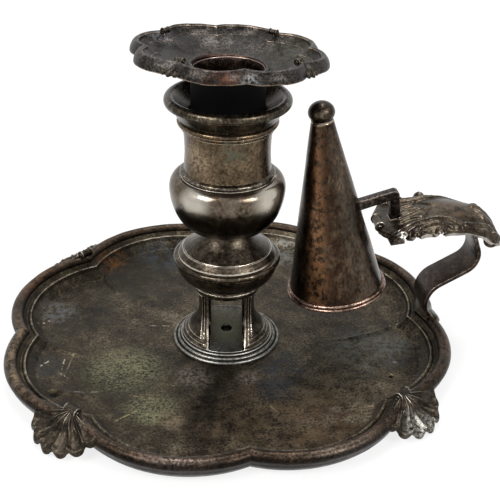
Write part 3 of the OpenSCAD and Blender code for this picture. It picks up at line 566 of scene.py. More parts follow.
def post(name, side):
    """One of the two posts: a grid wrapped on the pillar's side between the openings, then given its wall."""
    bpy.ops.object.select_all(action="DESELECT")
    bpy.ops.mesh.primitive_grid_add(x_subdivisions=150, y_subdivisions=130, size=2 * MM)
    piece = bpy.context.object
    piece.name = piece.data.name = name
    grid = points_of(piece)
    t = (grid[:, 1] + 1) / 2
    r = pillar_side(t)
    half_angle = math.pi / 2 - np.arcsin(WINDOW_HALF / r)
    angle = WINDOW_TURN + (0 if side > 0 else math.pi) + grid[:, 0] * half_angle
    from_edge = (1 - np.abs(grid[:, 0])) * half_angle * r
    heights = np.linspace(0, 1, 200)
    way = np.concatenate([[0], np.cumsum(np.hypot(np.diff(pillar_side(heights)), PILLAR_H / 199))])
    from_foot = np.interp(t, heights, way)
    from_top = way[-1] - from_foot
    inward = np.minimum(np.minimum(from_edge, from_foot * 0.9 + 0.2), from_top + 0.1)
    reeds = sum(0.42 * np.exp(-(((inward - line) / 0.27) ** 2)) for line in (0.35, 1.45, 2.75))
    r_out = r + reeds - 0.25
    points = np.column_stack([r_out * np.cos(angle), r_out * np.sin(angle), FOOT_TOP + PILLAR_H * t])
    set_points(piece, points)
    select_only(piece)
    wall = piece.modifiers.new("wall", "SOLIDIFY")
    wall.thickness = PILLAR_WALL * MM
    wall.offset = -1
    bpy.ops.object.modifier_apply(modifier=wall.name)
    return piece


right_post = post("pillar_post_right", 1)
left_post = post("pillar_post_left", -1)
band = turned("pillar_band", softened(
    [(9.3, 20.9), (10.35, 20.9), (10.6, 22.0), (10.6, PILLAR_TOP), (9.3, PILLAR_TOP)], 0.2), 200)
select_only(band)
left_post.select_set(True)
right_post.select_set(True)
bpy.ops.object.join()
band.name = band.data.name = "pillar_posts"
fit(band, "pierced_pillar", "stand", column_plate, reach=0.35)


# Collar: a turned ring of two fine beads between the pillar and the knop.
COLLAR_TOP = 24.1
collar = turned("pillar_ring", softened(
    [(9.4, PILLAR_TOP), (10.7, PILLAR_TOP)] + arc(10.9, PILLAR_TOP + 0.45, 0.45, -80, 80, 6)
    + arc(10.8, PILLAR_TOP + 1.2, 0.38, -80, 80, 6) + [(10.6, COLLAR_TOP), (9.4, COLLAR_TOP)], 0.1), 200)
fit(collar, "pillar_collar", "stand", column_plate, reach=0.35)


# Knop: a raised bowl, a bright half-round bead and a hollow cone with a ledge, soldered together.
KNOP_LOW_TOP = 30.8
KNOP_BEAD_TOP = 32.8
NECK_Z = 41.5
NECK_R = 7.1
COLUMN_WALL = 1.3


def knop_bowl(inset):
    low_r, top_r = 10.5, 15.8
    turns = [math.radians(90 * i / 16) for i in range(17)]
    return [(low_r - inset + (top_r - low_r) * math.sin(a),
             COLLAR_TOP + inset + (KNOP_LOW_TOP - COLLAR_TOP - inset) * (1 - math.cos(a))) for a in turns]


underside = turned("knop_bowl", [(4, COLLAR_TOP)] + knop_bowl(0) + knop_bowl(COLUMN_WALL)[::-1]
                   + [(4, COLLAR_TOP + COLUMN_WALL)], 200)
fit(underside, "knop_underside", "stand", column_plate)

knop_ring = turned("knop_ring", softened(
    [(13.1, KNOP_LOW_TOP)] + arc(15.75, 31.75, 0.95, -85, 100, 14) + [(13.1, KNOP_BEAD_TOP)], 0.1), 240)

# The same plate where it was rubbed hard: the tarnish is thin and the metal shines through
bright_plate = old_plate(
    "rubbed_silver_plate",
    tones=[(0.34, "2b241d"), (0.46, "483f34"), (0.56, "655b4d"), (0.68, "8c8275")],
    worn="ddd5c8", grime="15110d", mottle=7.0, grain=0.55, wear=(0.62, 0.9), rough=(0.16, 0.3), relief=0.03,
    dapple=0.65)
fit(knop_ring, "knop_bead", "stand", bright_plate, reach=0.35)


def knop_hollow(inset, parts):
    steps = [i / 14 for i in range(parts)]
    return [(NECK_R - inset + 6.3 * (1 - t) ** 1.75, 35.0 + 6.2 * t) for t in steps]


knop_top = turned("knop_top", softened(
    [(15.3, KNOP_BEAD_TOP), (15.0, 33.5), (14.5, 34.2), (13.95, 34.75), (13.75, 34.95), (13.5, 34.8)]
    + knop_hollow(0, 15) + [(7.5, 41.3), (7.4, NECK_Z), (4, NECK_Z), (4, 40.2), (5.8, 40.2)]
    + knop_hollow(COLUMN_WALL, 12)[::-1] + [(11.9, KNOP_BEAD_TOP)], 0.12), 240)
fit(knop_top, "knop_cone", "stand", column_plate, reach=0.5)


# Candle cup: a raised bowl under a straight barrel, with a bead between them and mouldings under
# an everted lip. The bowl was always the part that hands polished, so it still mirrors the room.
BOWL_TOP = 59.8
CUP_BEAD_TOP = 61.6
BARREL_TOP = 74.5
MOULDING_TOP = 77.7
LIP_TOP = 84.8
BOWL_R = 17.6
CUP_BEAD_R = 14.3
BOWL_LOW_H = 18.3 * 0.78
SOCKET_R = 11.0


def bowl_side(inset):
    foot_r, top_r = NECK_R + 0.7, CUP_BEAD_R + 0.4
    turns = [math.radians(90 * i / 28) for i in range(29)]
    belly = [(foot_r - inset + (BOWL_R - foot_r) * math.sin(a) ** 0.85,
              NECK_Z + inset + 0.6 + (BOWL_LOW_H - inset - 0.6) * (1 - math.cos(a) ** 1.15)) for a in turns]
    shoulder = [(top_r - inset + (BOWL_R - top_r) * math.cos(a),
                 NECK_Z + BOWL_LOW_H + (BOWL_TOP - NECK_Z - BOWL_LOW_H) * math.sin(a)) for a in turns[2::2]]
    return belly + shoulder


bowl = turned("cup_belly", [(4, NECK_Z), (7.9, NECK_Z), (8.15, NECK_Z + 0.35), (7.95, NECK_Z + 0.6)]
              + bowl_side(0)[1:] + bowl_side(COLUMN_WALL)[::-1] + [(4, NECK_Z + COLUMN_WALL + 0.6)], 240)
bowl_plate = old_plate(
    "polished_silver_plate",
    tones=[(0.34, "30261b"), (0.46, "4a3e30"), (0.56, "62564a"), (0.68, "857b6c")],
    worn="e9e3d6", grime="120e0a", mottle=10.0, grain=0.8, wear=(0.62, 0.9), rough=(0.12, 0.28), dapple=0.45,
    # Painted light: the two cream patches are painted highlights of the left and right lamps, the dark brown patch
    # between them is a painted reflection of the dark room, the pale patch low at the front is a painted reflection,
    # and painted_shade_under paints the dark reflection of the tray on the lower bowl
    relief=0.02, painted_shade_under=(50, 55.5, 0.9),
    patches=[(-17, -5, 54, 9, "6a5f4c", 0.6, 1.0), (-11.4, -13.2, 56.4, 7.0, "e6e0d2", 0.5, 0),
             (11.8, -13.4, 56.8, 8.0, "e3dccd", 0.55, 0), (0.5, -17.4, 55.6, 5.6, "2a1c14", 0.95, 1.6),
             (0, -17.5, 50.6, 12, "9b917f", 0.45, 2.0), (-14.6, -9.6, 53.4, 2.6, "241b12", 0.8, 0.6)])
fit(bowl, "cup_bowl", "stand", bowl_plate, angle=30)

cup_ring = turned("cup_ring", softened(
    [(11.3, BOWL_TOP), (14.2, BOWL_TOP), (13.75, BOWL_TOP + 0.35)]
    + arc(13.7, BOWL_TOP + 0.95, 0.6, -70, 90, 10) + [(13.2, CUP_BEAD_TOP), (11.3, CUP_BEAD_TOP)], 0.12), 220)
fit(cup_ring, "cup_bead", "stand", bright_plate, reach=0.35)

barrel_side = [(13.2 - 0.4 * math.sin(math.pi * i / 16), CUP_BEAD_TOP + 12.9 * i / 16) for i in range(17)]
barrel = turned("cup_drum", softened(
    [(4, CUP_BEAD_TOP)] + barrel_side + [(SOCKET_R, BARREL_TOP), (SOCKET_R, 63.6), (4, 63.6)], 0.15), 220)
barrel_plate = old_plate(
    "brown_bronze_plate",
    tones=[(0.34, "3a2e22"), (0.46, "584a39"), (0.56, "6f5e49"), (0.68, "8d7a62")],
    worn="c2b299", grime="15110c", mottle=6.0, grain=0.7, wear=(0.66, 0.9), rough=(0.2, 0.34), relief=0.05,
    dapple=0.6,
    # Painted light and shade: the pale patch on the left side is painted light from the left lamp, and the two dark
    # patches on the right side are painted shade
    patches=[(0, -12, 73, 7, "4b5046", 0.7, 3.0), (-9.6, -8.6, 68, 6.5, "96846c", 0.75, 1.0),
             (11.5, -6.0, 68, 5.5, "221c16", 0.85, 1.4), (7.2, -10.6, 68, 3.0, "2b241c", 0.7, 1.0),
             (-4.4, -13.6, 76, 1.4, "8a5a34", 0.9, 1.0), (4.6, -13.4, 76, 1.4, "8a5a34", 0.9, 1.0)])
fit(barrel, "cup_barrel", "stand", barrel_plate, reach=0.35)

moulding = turned("cup_mouldings", softened(
    [(SOCKET_R, BARREL_TOP), (13.1, BARREL_TOP), (13.2, BARREL_TOP + 0.12), (13.9, BARREL_TOP + 0.3),
     (14.15, BARREL_TOP + 1.25), (13.95, BARREL_TOP + 1.5)] + arc(14.25, BARREL_TOP + 2.25, 0.75, -60, 75, 9)
    + [(14.1, MOULDING_TOP), (SOCKET_R, MOULDING_TOP)], 0.12), 220)
fit(moulding, "cup_moulding", "stand", barrel_plate, reach=0.35)

lip = turned("cup_mouth", softened(
    [(SOCKET_R, MOULDING_TOP), (13.9, MOULDING_TOP), (14.0, MOULDING_TOP + 0.25), (14.9, MOULDING_TOP + 0.6)]
    + arc(21.0, 76.6, 6.2, 160, 122, 7) + arc(17.05, 83.15, 1.65, -35, 130, 14)
    + [(14.6, 82.8), (12.6, 81.2), (SOCKET_R + 0.2, 80.2), (SOCKET_R, 79.8)], 0.3, 4), 240)
lip_plate = old_plate(
    "dark_lip_plate",
    tones=[(0.34, "1c1812"), (0.46, "342d23"), (0.56, "4c4437"), (0.68, "69614f")],
    worn="d6cabf", grime="0b0a07", mottle=7.0, grain=0.6, wear=(0.6, 0.88), rough=(0.18, 0.36), relief=0.04)
fit(lip, "cup_lip", "stand", lip_plate, reach=0.6)


# Nozzle: a seamed copper tube that drops into the cup, under a lobed pan that catches the wax.
# It lifts out for cleaning, and it leans a little in its socket.
TUBE_R = 10.9
BORE_R = 10.3
HOLE_Z = 92.6
TUBE_Z = 63.8
PAN_R = 28.7
PAN_NOTCH_R = 26.0
PAN_C = lobe_centre(PAN_R, PAN_NOTCH_R)
PAN_TURN = math.radians(4)
lean = (Matrix.Translation((0, 0, HOLE_Z * MM)) @ Matrix.Rotation(math.radians(2.9), 4, "Y")
        @ Matrix.Rotation(math.radians(-2.6), 4, "X"))

tube = turned("nozzle_sleeve", softened(
    between((TUBE_R, TUBE_Z), (TUBE_R, HOLE_Z - 0.2), 4) + [(TUBE_R, HOLE_Z - 0.2), (BORE_R, HOLE_Z - 0.2)]
    + between((BORE_R, HOLE_Z - 0.2), (BORE_R, TUBE_Z), 4)[1:] + [(BORE_R, TUBE_Z)], 0.15), 200)
copper = old_plate(
    "bare_aged_copper",
    tones=[(0.34, "1d1410"), (0.46, "30241e"), (0.56, "45352d"), (0.68, "5f4b41")],
    worn="a08a80", grime="140906", mottle=6.0, grain=0.6, wear=(0.66, 0.9), rough=(0.26, 0.45), relief=0.04,
    dapple=0.7)
fit(tube, "nozzle_tube", "nozzle", copper)

# The outside of the tube is painted near black, a painted dark reflection and shade between the cup and the pan
painted_shade_black = old_plate(
    "painted_shade_on_tube",
    tones=[(0.34, "040404"), (0.46, "060606"), (0.56, "080808"), (0.68, "0d0c0c")],
    worn="0e0d0c", grime="020202", metallic=0.0, mottle=6.0, rough=(0.7, 0.85), relief=0.04)
painted_shade_black.node_tree.nodes["Principled BSDF"].inputs["Specular IOR Level"].default_value = 0.1
tube.data.materials.append(painted_shade_black)
for face in tube.data.polygons:
    if face.center.xy.length > (TUBE_R - 0.3) * MM:
        face.material_index = 1

pan_section = softened(
    [(11.0, -0.8), (11.0, 0.0), (12.6, 0.05), (15.5, 0.9), (18.5, 2.25), (21.2, 3.2), (23.5, 3.75)]
    + [(23.9, 4.02), (24.35, 3.95), (25.0, 4.35), (25.9, 5.15)] + arc(26.75, 5.35, 0.9, 140, 40, 6)
    + [(28.1, 5.1), (28.6, 3.9), (28.7, 2.95), (28.45, 2.7), (28.1, 2.9), (27.8, 4.0), (27.1, 4.9), (26.4, 5.1)]
    + [(25.6, 4.1), (24.5, 3.2), (21.2, 2.4), (18.5, 1.45), (15.5, 0.1), (12.6, -0.75)], 0.9, 3, 9)
pan = turned("nozzle_dish", pan_section, 512)
into_lobes(pan, PAN_C, 17, 24.1, PAN_TURN)
pan_points = points_of(pan)
pan_points[:, 2] += 0.12 * waves(pan_points, 11, 2)
set_points(pan, pan_points)
pan.data.transform(lean)
nozzle_plate = old_plate(
    "sooted_silver_plate",
    tones=[(0.34, "191614"), (0.46, "2c2825"), (0.56, "413c38"), (0.68, "5d5854")],
    worn="a8937f", grime="0f0d0b", mottle=8.0, grain=0.6, wear=(0.63, 0.9), rough=(0.32, 0.5), relief=0.08,
    dapple=0.85, patches=[(20, 6, 97, 12, "4b4a36", 0.6, 1.4), (3, -26.5, 96, 4, "8d8f8f", 0.7, 1.0),
                          (-4, -27, 96, 7, "4c2f22", 0.75, 1.4), (-20, 16, 98, 8, "77777a", 0.5, 0.9),
                          (-12, -12, 95, 12, "3a3d42", 0.5, 1.0)])
fit(pan, "nozzle_pan", "nozzle", nozzle_plate, angle=50, reach=0.5, deepest=0.3)

hole_ring = turned("nozzle_hole_ring", arc(BORE_R + 0.85, 0.28, 0.7, -20, 335, 20), 200)
hole_ring.data.transform(lean)
fit(hole_ring, "nozzle_hole_bead", "nozzle", copper, reach=0.35)

small_shell = fan("small_shell_blank", 5, 21, 6.2, 0.8, 0.4, 0.6, 0.9, 2.8)
for node, notch in [("nozzle_shell_back_right", 1), ("nozzle_shell_back_left", 3),
                    ("nozzle_shell_front_left", 5), ("nozzle_shell_front_right", 7)]:
    seat = (lean @ Matrix.Rotation(PAN_TURN + notch * LOBE_TURN, 4, "Z")
            @ Matrix.Translation((22.8 * MM, 0, 6.0 * MM)) @ Matrix.Rotation(math.radians(22), 4, "Y"))
    fit(copied(small_shell, node.replace("nozzle_shell", "small_shell"), seat), node, "nozzle",
        shell_plate, reach=0.13)
bpy.data.objects.remove(small_shell)


# Extinguisher: a cone rolled from sheet and seamed, with two beads wired round its mouth,
# a pressed ball on top and a bent square bar whose leg drops into the handle's socket.
CONE_X, CONE_Z = 35.6, 18.3
CONE_LEN = 58.0
CONE_R, CONE_TOP_R = 15.2, 3.4
at_cone = Matrix.Translation((CONE_X * MM, 0, CONE_Z * MM)) @ Matrix.Rotation(math.radians(-7.6), 4, "Y")

cone = turned("snuffer_cone", softened(
    between((CONE_R, 0), (CONE_TOP_R, CONE_LEN), 1.0) + [(CONE_TOP_R, CONE_LEN), (0.6, CONE_LEN)]
    + [(0.6, CONE_LEN - 0.8), (CONE_TOP_R - 0.8, CONE_LEN - 0.8), (CONE_R - 0.8, 0)], 0.2), 240)
cone_points = points_of(cone)
dents = 0.09 * waves(cone_points, 15, 6)
bulge = 1 + dents / np.maximum(np.hypot(cone_points[:, 0], cone_points[:, 1]), 2)
cone_points[:, :2] *= bulge[:, None]
set_points(cone, cone_points)
cone.data.transform(at_cone)
cone_plate = old_plate(
    "rubbed_plate_painted_reflections",
    tones=[(0.34, "221811"), (0.46, "3a2d22"), (0.56, "524233"), (0.68, "71614f")],
    worn="b59a84", grime="120d08", mottle=9.0, grain=0.7, wear=(0.62, 0.9), rough=(0.2, 0.38), relief=0.06,
    stretch=(1, 1, 0.5), dapple=0.7,
    # Painted reflections: the patches run up the cone in stripes, a pale painted highlight of the left lamp, dark
    # painted reflections at the front and at the left, and a grey painted reflection on the right
    patches=[(*(at_cone @ (Vector((r * math.cos(math.radians(a)), r * math.sin(math.radians(a)), h)) * MM) / MM),
              0.32 * r + 1.8, tone, share, 2.4)
             for h in range(4, 57, 5) for r in [CONE_R - (CONE_R - CONE_TOP_R) * h / CONE_LEN]
             for a, tone, share in [(-124, "8a6446", 0.75), (-98, "2c1b11", 0.65), (-158, "180f08", 0.7),
                                    (-62, "4b4a44", 0.4)]])
fit(cone, "extinguisher_cone", "extinguisher", cone_plate)

beads = turned("snuffer_beads", softened(
    [(14.2, 0)] + arc(15.35, 0.55, 0.55, -90, 80, 9) + arc(15.05, 1.65, 0.55, -80, 100, 9) + [(14.0, 2.2)], 0.1), 240)
beads.data.transform(at_cone)
bead_plate = old_plate(
    "rubbed_copper_bead",
    tones=[(0.34, "4a3428"), (0.46, "6b5143"), (0.56, "8a6e5f"), (0.68, "a88c7d")],
    worn="e0c9bb", grime="170f0a", mottle=5.0, grain=0.5, wear=(0.62, 0.9), rough=(0.18, 0.32), relief=0.03)
fit(beads, "extinguisher_mouth_beads", "extinguisher", bead_plate, reach=0.35)

ball = turned("snuffer_ball", [(0, CONE_LEN), (3.3, CONE_LEN), (3.35, CONE_LEN + 0.35)]
              + [(4.05 * math.cos(math.radians(a)), CONE_LEN + 2.52 + (3.0 if a < 0 else 3.48)
                  * math.sin(math.radians(a))) for a in range(-40, 91, 10)], 120)
ball.data.transform(at_cone)
fit(ball, "extinguisher_ball", "extinguisher", column_plate, reach=0.5)


def slab(name, outline, width, edge):
    """A flat bar or strap: an outline in the handle's upright plane, filled, drawn to its width and rounded."""
    bpy.ops.object.select_all(action="DESELECT")
    bpy.ops.mesh.primitive_circle_add(vertices=len(outline), radius=MM, fill_type="NGON")
    piece = bpy.context.object
    piece.name = piece.data.name = name
    set_points(piece, np.array([(x, -width / 2, z) for x, z in outline]))
    bpy.ops.object.mode_set(mode="EDIT")
    bpy.ops.mesh.select_all(action="SELECT")
    bpy.ops.mesh.extrude_region_move(TRANSFORM_OT_translate={"value": (0, width * MM, 0)})
    bpy.ops.mesh.select_all(action="SELECT")
    bpy.ops.mesh.normals_make_consistent(inside=False)
    bpy.ops.object.mode_set(mode="OBJECT")
    select_only(piece)
    rounding = piece.modifiers.new("rounding", "BEVEL")
    rounding.width = edge * MM
    rounding.segments = 4
    rounding.limit_method = "ANGLE"
    rounding.angle_limit = math.radians(40)
    bpy.ops.object.modifier_apply(modifier=rounding.name)
    return piece


ARM_T = 3.1
ARM_ROOT_H = 28.3
ARM_REACH = 20.4
ARM_TOP = ARM_ROOT_H + 1.8
ARM_LEG = 17.6
root_r = CONE_R - (CONE_R - CONE_TOP_R) / CONE_LEN * ARM_ROOT_H - 0.4
half_t = ARM_T / 2
arm = slab("snuffer_arm", [
    (root_r, ARM_ROOT_H - half_t), (ARM_REACH - half_t, ARM_TOP - half_t),
    (ARM_REACH - half_t, ARM_TOP + half_t - ARM_LEG), (ARM_REACH + half_t, ARM_TOP + half_t - ARM_LEG)]
    + arc(ARM_REACH, ARM_TOP, half_t, 0, 90, 5) + [(root_r, ARM_ROOT_H + half_t)], ARM_T, 0.35)
arm.data.transform(at_cone)
arm_metal = old_plate(
    "dark_brown_brass",
    tones=[(0.34, "0f0b08"), (0.46, "1b1510"), (0.56, "271e19"), (0.68, "372d27")],
    worn="7a6f67", grime="0b0806", mottle=6.0, grain=0.6, wear=(0.6, 0.85), rough=(0.3, 0.46), relief=0.07,
    dapple=0.7)
fit(arm, "extinguisher_arm", "extinguisher", arm_metal, reach=0.35)


# Handle: a cast leaf thumb-piece on a flat S-shaped strap, riveted to a lug on the rim's notch.
# A square socket under the leaf's front end takes the extinguisher's leg.
LEG_END = Matrix.Translation((ARM_REACH * MM, 0, (ARM_TOP + half_t - ARM_LEG - 0.2) * MM))
SOCKET_SIDE = 4.6
SOCKET_LOW = 0.8
bpy.ops.object.select_all(action="DESELECT")
bpy.ops.mesh.primitive_cube_add(size=MM)
socket = bpy.context.object
socket.name = socket.data.name = "leg_socket"
socket_points = points_of(socket)
socket_points[:, :2] *= SOCKET_SIDE
socket_points[:, 2] = np.where(socket_points[:, 2] > 0, 8.6, -SOCKET_LOW)
set_points(socket, socket_points)
bpy.ops.object.mode_set(mode="EDIT")
bpy.ops.mesh.select_mode(type="FACE")
bpy.ops.mesh.select_all(action="DESELECT")
bpy.ops.object.mode_set(mode="OBJECT")
for face in socket.data.polygons:
    face.select = face.normal.z > 0.5
bpy.ops.object.mode_set(mode="EDIT")
bpy.ops.mesh.inset(thickness=0.65 * MM)
bpy.ops.mesh.extrude_region_move(TRANSFORM_OT_translate={"value": (0, 0, -8.6 * MM)})
bpy.ops.object.mode_set(mode="OBJECT")
select_only(socket)
rounding = socket.modifiers.new("rounding", "BEVEL")
rounding.width = 0.3 * MM
rounding.segments = 3
bpy.ops.object.modifier_apply(modifier=rounding.name)
socket.data.transform(at_cone @ LEG_END)
fit(socket, "arm_socket", "stand", arm_metal, reach=0.35)

# Thumb-piece: a leaf cast in brass, arched both ways and plated, with curled lobes along its edges,
# reeds that sweep back from the leg's hole, and gadroons that wrap over the scroll at its end.
LEAF_TOP_X, LEAF_H = 62.0, 45.3
LEAF_T = 1.3
LEG_HOLE = 4.3
LEAF_RIDGE = [(46.4, 41.0), (49.0, 41.8), (52.0, 42.6), (56.0, 43.9), (60.0, 45.0), (64.0, 45.9), (68.0, 46.4),
              (73.0, 46.2), (77.0, 45.5), (80.0, 44.4), (82.5, 42.2), (84.5, 39.8), (85.8, 37.4)]
LEAF_DROP = [(46.4, 0.3), (52.0, 0.7), (60.0, 1.6), (66.0, 2.8), (72.0, 3.8), (77.0, 4.8), (82.5, 5.2), (85.8, 3.0)]
LEAF_SIDE = [(46.4, 4.2), (47.2, 6.4), (48.8, 9.4), (50.4, 12.6), (52.2, 14.0), (54.2, 12.6), (56.6, 13.7),
             (58.8, 12.9), (61.4, 12.9), (64.0, 14.5), (66.6, 12.8), (69.6, 12.2), (72.4, 11.2), (76.0, 10.2),
             (80.0, 9.2), (83.0, 8.2), (85.8, 7.2)]
LEAF_CURLS = [(52.2, 11.9, 2.1), (56.6, 12.0, 1.6), (64.0, 12.9, 1.8)]
bpy.ops.object.select_all(action="DESELECT")
bpy.ops.mesh.primitive_grid_add(x_subdivisions=230, y_subdivisions=160, size=2 * MM)
leaf = bpy.context.object
leaf.name = leaf.data.name = "leaf_thumb_piece"
grid = points_of(leaf)
plan_x = 46.4 + 39.4 * (grid[:, 0] + 1) / 2
half_width = np.interp(plan_x, *zip(*LEAF_SIDE))
plan_y = grid[:, 1] * half_width
near_y = -np.abs(plan_y)
plan = np.column_stack([plan_x, near_y, near_y * 0])
from_side = half_width - np.abs(plan_y)
carved = 0.55 * np.exp(-(((from_side - 1.0) / 0.5) ** 2)) - 1.9 * (1 - eased(from_side / 1.8))
for start, bend, end, height, width in [
    ((51.5, -9.6), (61.5, -3.4), (74.0, -10.4), 0.8, 0.75), ((53.5, -11.0), (62.0, -5.4), (71.5, -11.8), 0.6, 0.6),
    ((58.0, -10.6), (63.0, -7.6), (69.0, -12.0), 0.55, 0.6), ((53.5, -4.6), (58.0, -3.0), (61.0, -5.6), 0.55, 0.6),
    ((53.5, -2.2), (60.0, -1.2), (66.5, 2.8), 0.6, 0.6), ((54.0, 0.0), (59.0, 0.4), (64.5, 3.6), 0.5, 0.6),
    ((72.5, -10.4), (79.0, -9.0), (87.0, -5.4), 0.9, 0.6), ((73.0, -8.6), (79.0, -7.3), (87.0, -3.8), 0.6, 0.5),
    ((60.5, -5.2), (64.0, -1.6), (67.5, 2.6), -0.6, 0.5),
]:
    carved += ridge(plan, start, bend, end, height, width, 12)
for x, y, r in LEAF_CURLS:
    gap = np.hypot(plan_x - x, near_y + y)
    carved = np.maximum(carved, np.sqrt(np.maximum(r**2 - gap**2, 0)) * 0.85 - 0.4) - 0.35 * np.exp(-((gap / 0.5) ** 2))
flutes = eased((plan_x - 76.0 - 0.12 * plan_y**2) / 2.2) * (1 - eased((np.abs(plan_y) - 8.0) / 0.8))
carved += flutes * (1.3 * np.sqrt(np.abs(np.cos(math.pi * plan_y / 3.4))) - 0.4)
spine = np.interp(plan_x, *zip(*LEAF_RIDGE))
drop = np.interp(plan_x, *zip(*LEAF_DROP)) * (plan_y / half_width) ** 2
set_points(leaf, np.column_stack([plan_x, plan_y, spine - drop + carved]))
# The leg's square hole goes through the leaf over the socket
to_leg = np.array((at_cone @ LEG_END).inverted())
by_leg = points_of(leaf) @ to_leg[:3, :3].T + to_leg[:3, 3] / MM
select_only(leaf)
bpy.ops.object.mode_set(mode="EDIT")
bpy.ops.mesh.select_mode(type="VERT")
bpy.ops.mesh.select_all(action="DESELECT")
bpy.ops.object.mode_set(mode="OBJECT")
for vertex, place in zip(leaf.data.vertices, by_leg):
    vertex.select = max(abs(place[0]), abs(place[1])) < LEG_HOLE / 2
bpy.ops.object.mode_set(mode="EDIT")
bpy.ops.mesh.delete(type="VERT")
bpy.ops.object.mode_set(mode="OBJECT")
wall = leaf.modifiers.new("wall", "SOLIDIFY")
wall.thickness = LEAF_T * MM
wall.offset = -1
bpy.ops.object.modifier_apply(modifier=wall.name)
bpy.ops.object.mode_set(mode="EDIT")
bpy.ops.mesh.select_all(action="SELECT")
bpy.ops.mesh.normals_make_consistent(inside=False)
bpy.ops.object.mode_set(mode="OBJECT")

leaf_scroll = spool("leaf_scroll", 2.6, 11.6)
leaf_scroll.data.transform(Matrix.Translation((83.6 * MM, 0, 36.0 * MM)))
leaf_curl = spool("leaf_curl", 1.6, 6.4)
leaf_curl.data.transform(Matrix.Translation((47.6 * MM, 0, 41.0 * MM)))
select_only(leaf_scroll)
leaf_curl.select_set(True)
leaf.select_set(True)
bpy.context.view_layer.objects.active = leaf
bpy.ops.object.join()
leaf_plate = old_plate(
    "cast_leaf_plate",
    tones=[(0.34, "231d16"), (0.46, "3b3228"), (0.56, "52483b"), (0.68, "6d6254")],
    worn="c4bdb3", grime="0f0c08", mottle=8.0, grain=0.6, wear=(0.68, 1.0), hollow=(0.4, 0.18), rough=(0.2, 0.38),
    relief=0.06, dapple=0.6, patches=[(70, -2, 46, 9, "6b5846", 0.6, 3.0), (52.2, -12.5, 43, 2.6, "d8d2ca", 0.8, 1.2)])
fit(leaf, "thumb_piece", "stand", leaf_plate, angle=50, reach=0.5)

strap_foot = (TRAY_NOTCH_R - 2.2, RIM_H + 2.6)
low_c = (strap_foot[0] + 7.3, strap_foot[1] + 2.6)
top_c = (LEAF_TOP_X + 11.3, FLOOR_Z + LEAF_H - 16.0)
top_turn = math.radians(20)
strap_line = ([(strap_foot[0] + 2.8, strap_foot[1] - 3.6)] + arc(*low_c, 8.0, 200, 118, 16)
              + arc(*top_c, 6.5, -62, 20, 16)
              + [(top_c[0] + 6.5 * math.cos(top_turn) - 6.0 * math.sin(top_turn),
                  top_c[1] + 6.5 * math.sin(top_turn) + 6.0 * math.cos(top_turn))])


def offset_line(line, gap):
    """The line beside another at a steady gap."""
    beside = []
    for i, spot in enumerate(line):
        a = Vector(line[max(i - 1, 0)])
        b = Vector(line[min(i + 1, len(line) - 1)])
        along = (b - a).normalized()
        beside.append((spot[0] - along.y * gap, spot[1] + along.x * gap))
    return beside


strap = slab("handle_strip", offset_line(strap_line, 0.7) + offset_line(strap_line, -0.7)[::-1], 12.6, 0.45)
strap_metal = old_plate(
    "brown_strap_brass",
    tones=[(0.34, "1c1510"), (0.46, "2f251e"), (0.56, "43372f"), (0.68, "5b4e45")],
    worn="9c8e83", grime="100c09", mottle=9.0, grain=0.6, wear=(0.6, 0.85), rough=(0.26, 0.42), relief=0.05)
fit(strap, "handle_strap", "stand", strap_metal, reach=0.35)

# The lug is a rounded tongue hammered down over the roll, soldered there, and stained white and green
bpy.ops.object.select_all(action="DESELECT")
bpy.ops.mesh.primitive_grid_add(x_subdivisions=60, y_subdivisions=48, size=2 * MM)
lug = bpy.context.object
lug.name = lug.data.name = "strap_lug"
grid = points_of(lug)
share = (grid[:, 0] + 1) / 2
side = grid[:, 1] * 6.3 * np.sqrt(1 - np.maximum(share - 0.45, 0) ** 2 / 0.56**2 * 0.98)
off = LOBE_TURN / 2 - np.sqrt(side**2 + 4) / TRAY_NOTCH_R
roll_at = TRAY_C * np.cos(off) + np.sqrt((TRAY_R - ROLL_R - TRAY_C) ** 2 - (TRAY_C * np.sin(off)) ** 2)
round_roll = np.radians(150 - 165 * np.minimum(share / 0.8, 1))
lug_r = ROLL_R + 1.3 - 0.5 * np.abs(grid[:, 1]) ** 4
lug_x = roll_at + lug_r * np.cos(round_roll)
lug_z = ROLL_Z + lug_r * np.sin(round_roll) - 2.6 * np.maximum(share - 0.8, 0) / 0.2
set_points(lug, np.column_stack([np.sqrt(lug_x**2 - side**2), side, lug_z]))
select_only(lug)
wall = lug.modifiers.new("wall", "SOLIDIFY")
wall.thickness = 1.3 * MM
wall.offset = -1
bpy.ops.object.modifier_apply(modifier=wall.name)
bpy.ops.object.mode_set(mode="EDIT")
bpy.ops.mesh.select_all(action="SELECT")
bpy.ops.mesh.normals_make_consistent(inside=False)
bpy.ops.object.mode_set(mode="OBJECT")
lug_metal = old_plate(
    "stained_lug_brass",
    tones=[(0.34, "1c1711"), (0.46, "302921"), (0.56, "443c31"), (0.68, "5c5346")],
    worn="a9a69d", grime="0d0a07", mottle=6.0, grain=0.6, wear=(0.66, 0.92), rough=(0.3, 0.46), relief=0.06,
    dapple=0.7, patches=[(69, -3, 9, 4.5, "8d948a", 0.8, 1.0), (71, 2, 7, 3.5, "59604f", 0.6, 1.0)])
fit(lug, "handle_lug", "stand", lug_metal, angle=60, reach=0.35)


# Photograph's view: the camera stands a little left of the column's front and looks down on the tray.
# White background, a pale floor that keeps the shadow, and soft lamps to the left, right and above.
FRAME_WIDTH_MM = 36
lens = 71.57
right = Vector((0.992603, -0.120069, 0.017975))
up = Vector((0.042142, 0.479601, 0.876474))
back = right.cross(up)
camera_data = bpy.data.cameras.new("photograph_camera")
camera_data.sensor_width = FRAME_WIDTH_MM
camera_data.lens = lens
camera_data.clip_start = 0.01
camera = bpy.data.objects.new("photograph_camera", camera_data)
bpy.context.scene.collection.objects.link(camera)
camera.matrix_world = Matrix.Translation(Vector((-28.217, -270.740, 182.963)) * MM) @ Matrix(
    (right, up, back)).transposed().to_4x4()
bpy.context.scene.camera = camera

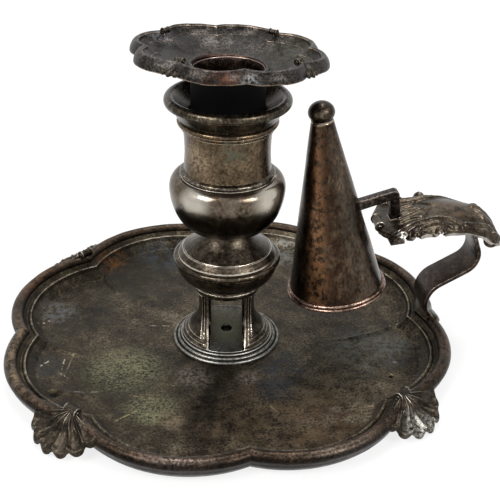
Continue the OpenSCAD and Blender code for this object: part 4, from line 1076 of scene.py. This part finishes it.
bpy.ops.object.select_all(action="DESELECT")
bpy.ops.mesh.primitive_plane_add(size=6)
floor = bpy.context.object
floor.name = "studio_floor"
paper = bpy.data.materials.new("white_paper")
paper.use_nodes = True
tree = paper.node_tree
tree.nodes.clear()
ray = add(tree, "ShaderNodeLightPath").outputs
seen = reckoned(tree, "MAXIMUM", reckoned(tree, "MAXIMUM", ray["Is Camera Ray"], ray["Is Glossy Ray"]),
                ray["Is Transmission Ray"])
lit = add(tree, "ShaderNodeBsdfDiffuse", {"Color": colour("e6e6e4")}).outputs[0]
glow = add(tree, "ShaderNodeEmission", {"Color": colour("ffffff"), "Strength": 1.0}).outputs[0]
add(tree, "ShaderNodeOutputMaterial", {0: add(tree, "ShaderNodeMixShader", {
    0: reckoned(tree, "MULTIPLY", seen, 0.8), 1: lit, 2: glow}).outputs[0]})
floor.data.materials.append(paper)

world = bpy.data.worlds.new("studio")
bpy.context.scene.world = world
world.use_nodes = True
tree = world.node_tree
tree.nodes.clear()
ray = add(tree, "ShaderNodeLightPath").outputs
seen = reckoned(tree, "MAXIMUM", reckoned(tree, "MAXIMUM", ray["Is Camera Ray"], ray["Is Glossy Ray"]),
                ray["Is Transmission Ray"])
strength = reckoned(tree, "MULTIPLY_ADD", seen, 0.5, 0.5)
add(tree, "ShaderNodeOutputWorld", {0: add(tree, "ShaderNodeBackground", {
    "Color": colour("ffffff"), "Strength": strength}).outputs[0]})

for name, spot, size, power in [
    ("left_softbox", (-0.62, -0.45, 0.75), 0.42, 9.0),
    ("right_softbox", (0.55, -0.62, 0.62), 0.36, 7.0),
    ("top_softbox", (0.0, 0.25, 0.95), 0.5, 6.0),
]:
    lamp = bpy.data.lights.new(name, "AREA")
    lamp.shape = "SQUARE"
    lamp.size = size
    lamp.energy = power
    holder = bpy.data.objects.new(name, lamp)
    bpy.context.scene.collection.objects.link(holder)
    holder.location = spot
    holder.rotation_euler = (Vector((0.01, 0, 0.05)) - Vector(spot)).to_track_quat("-Z", "Y").to_euler()

bpy.context.scene.view_settings.view_transform = "Standard"
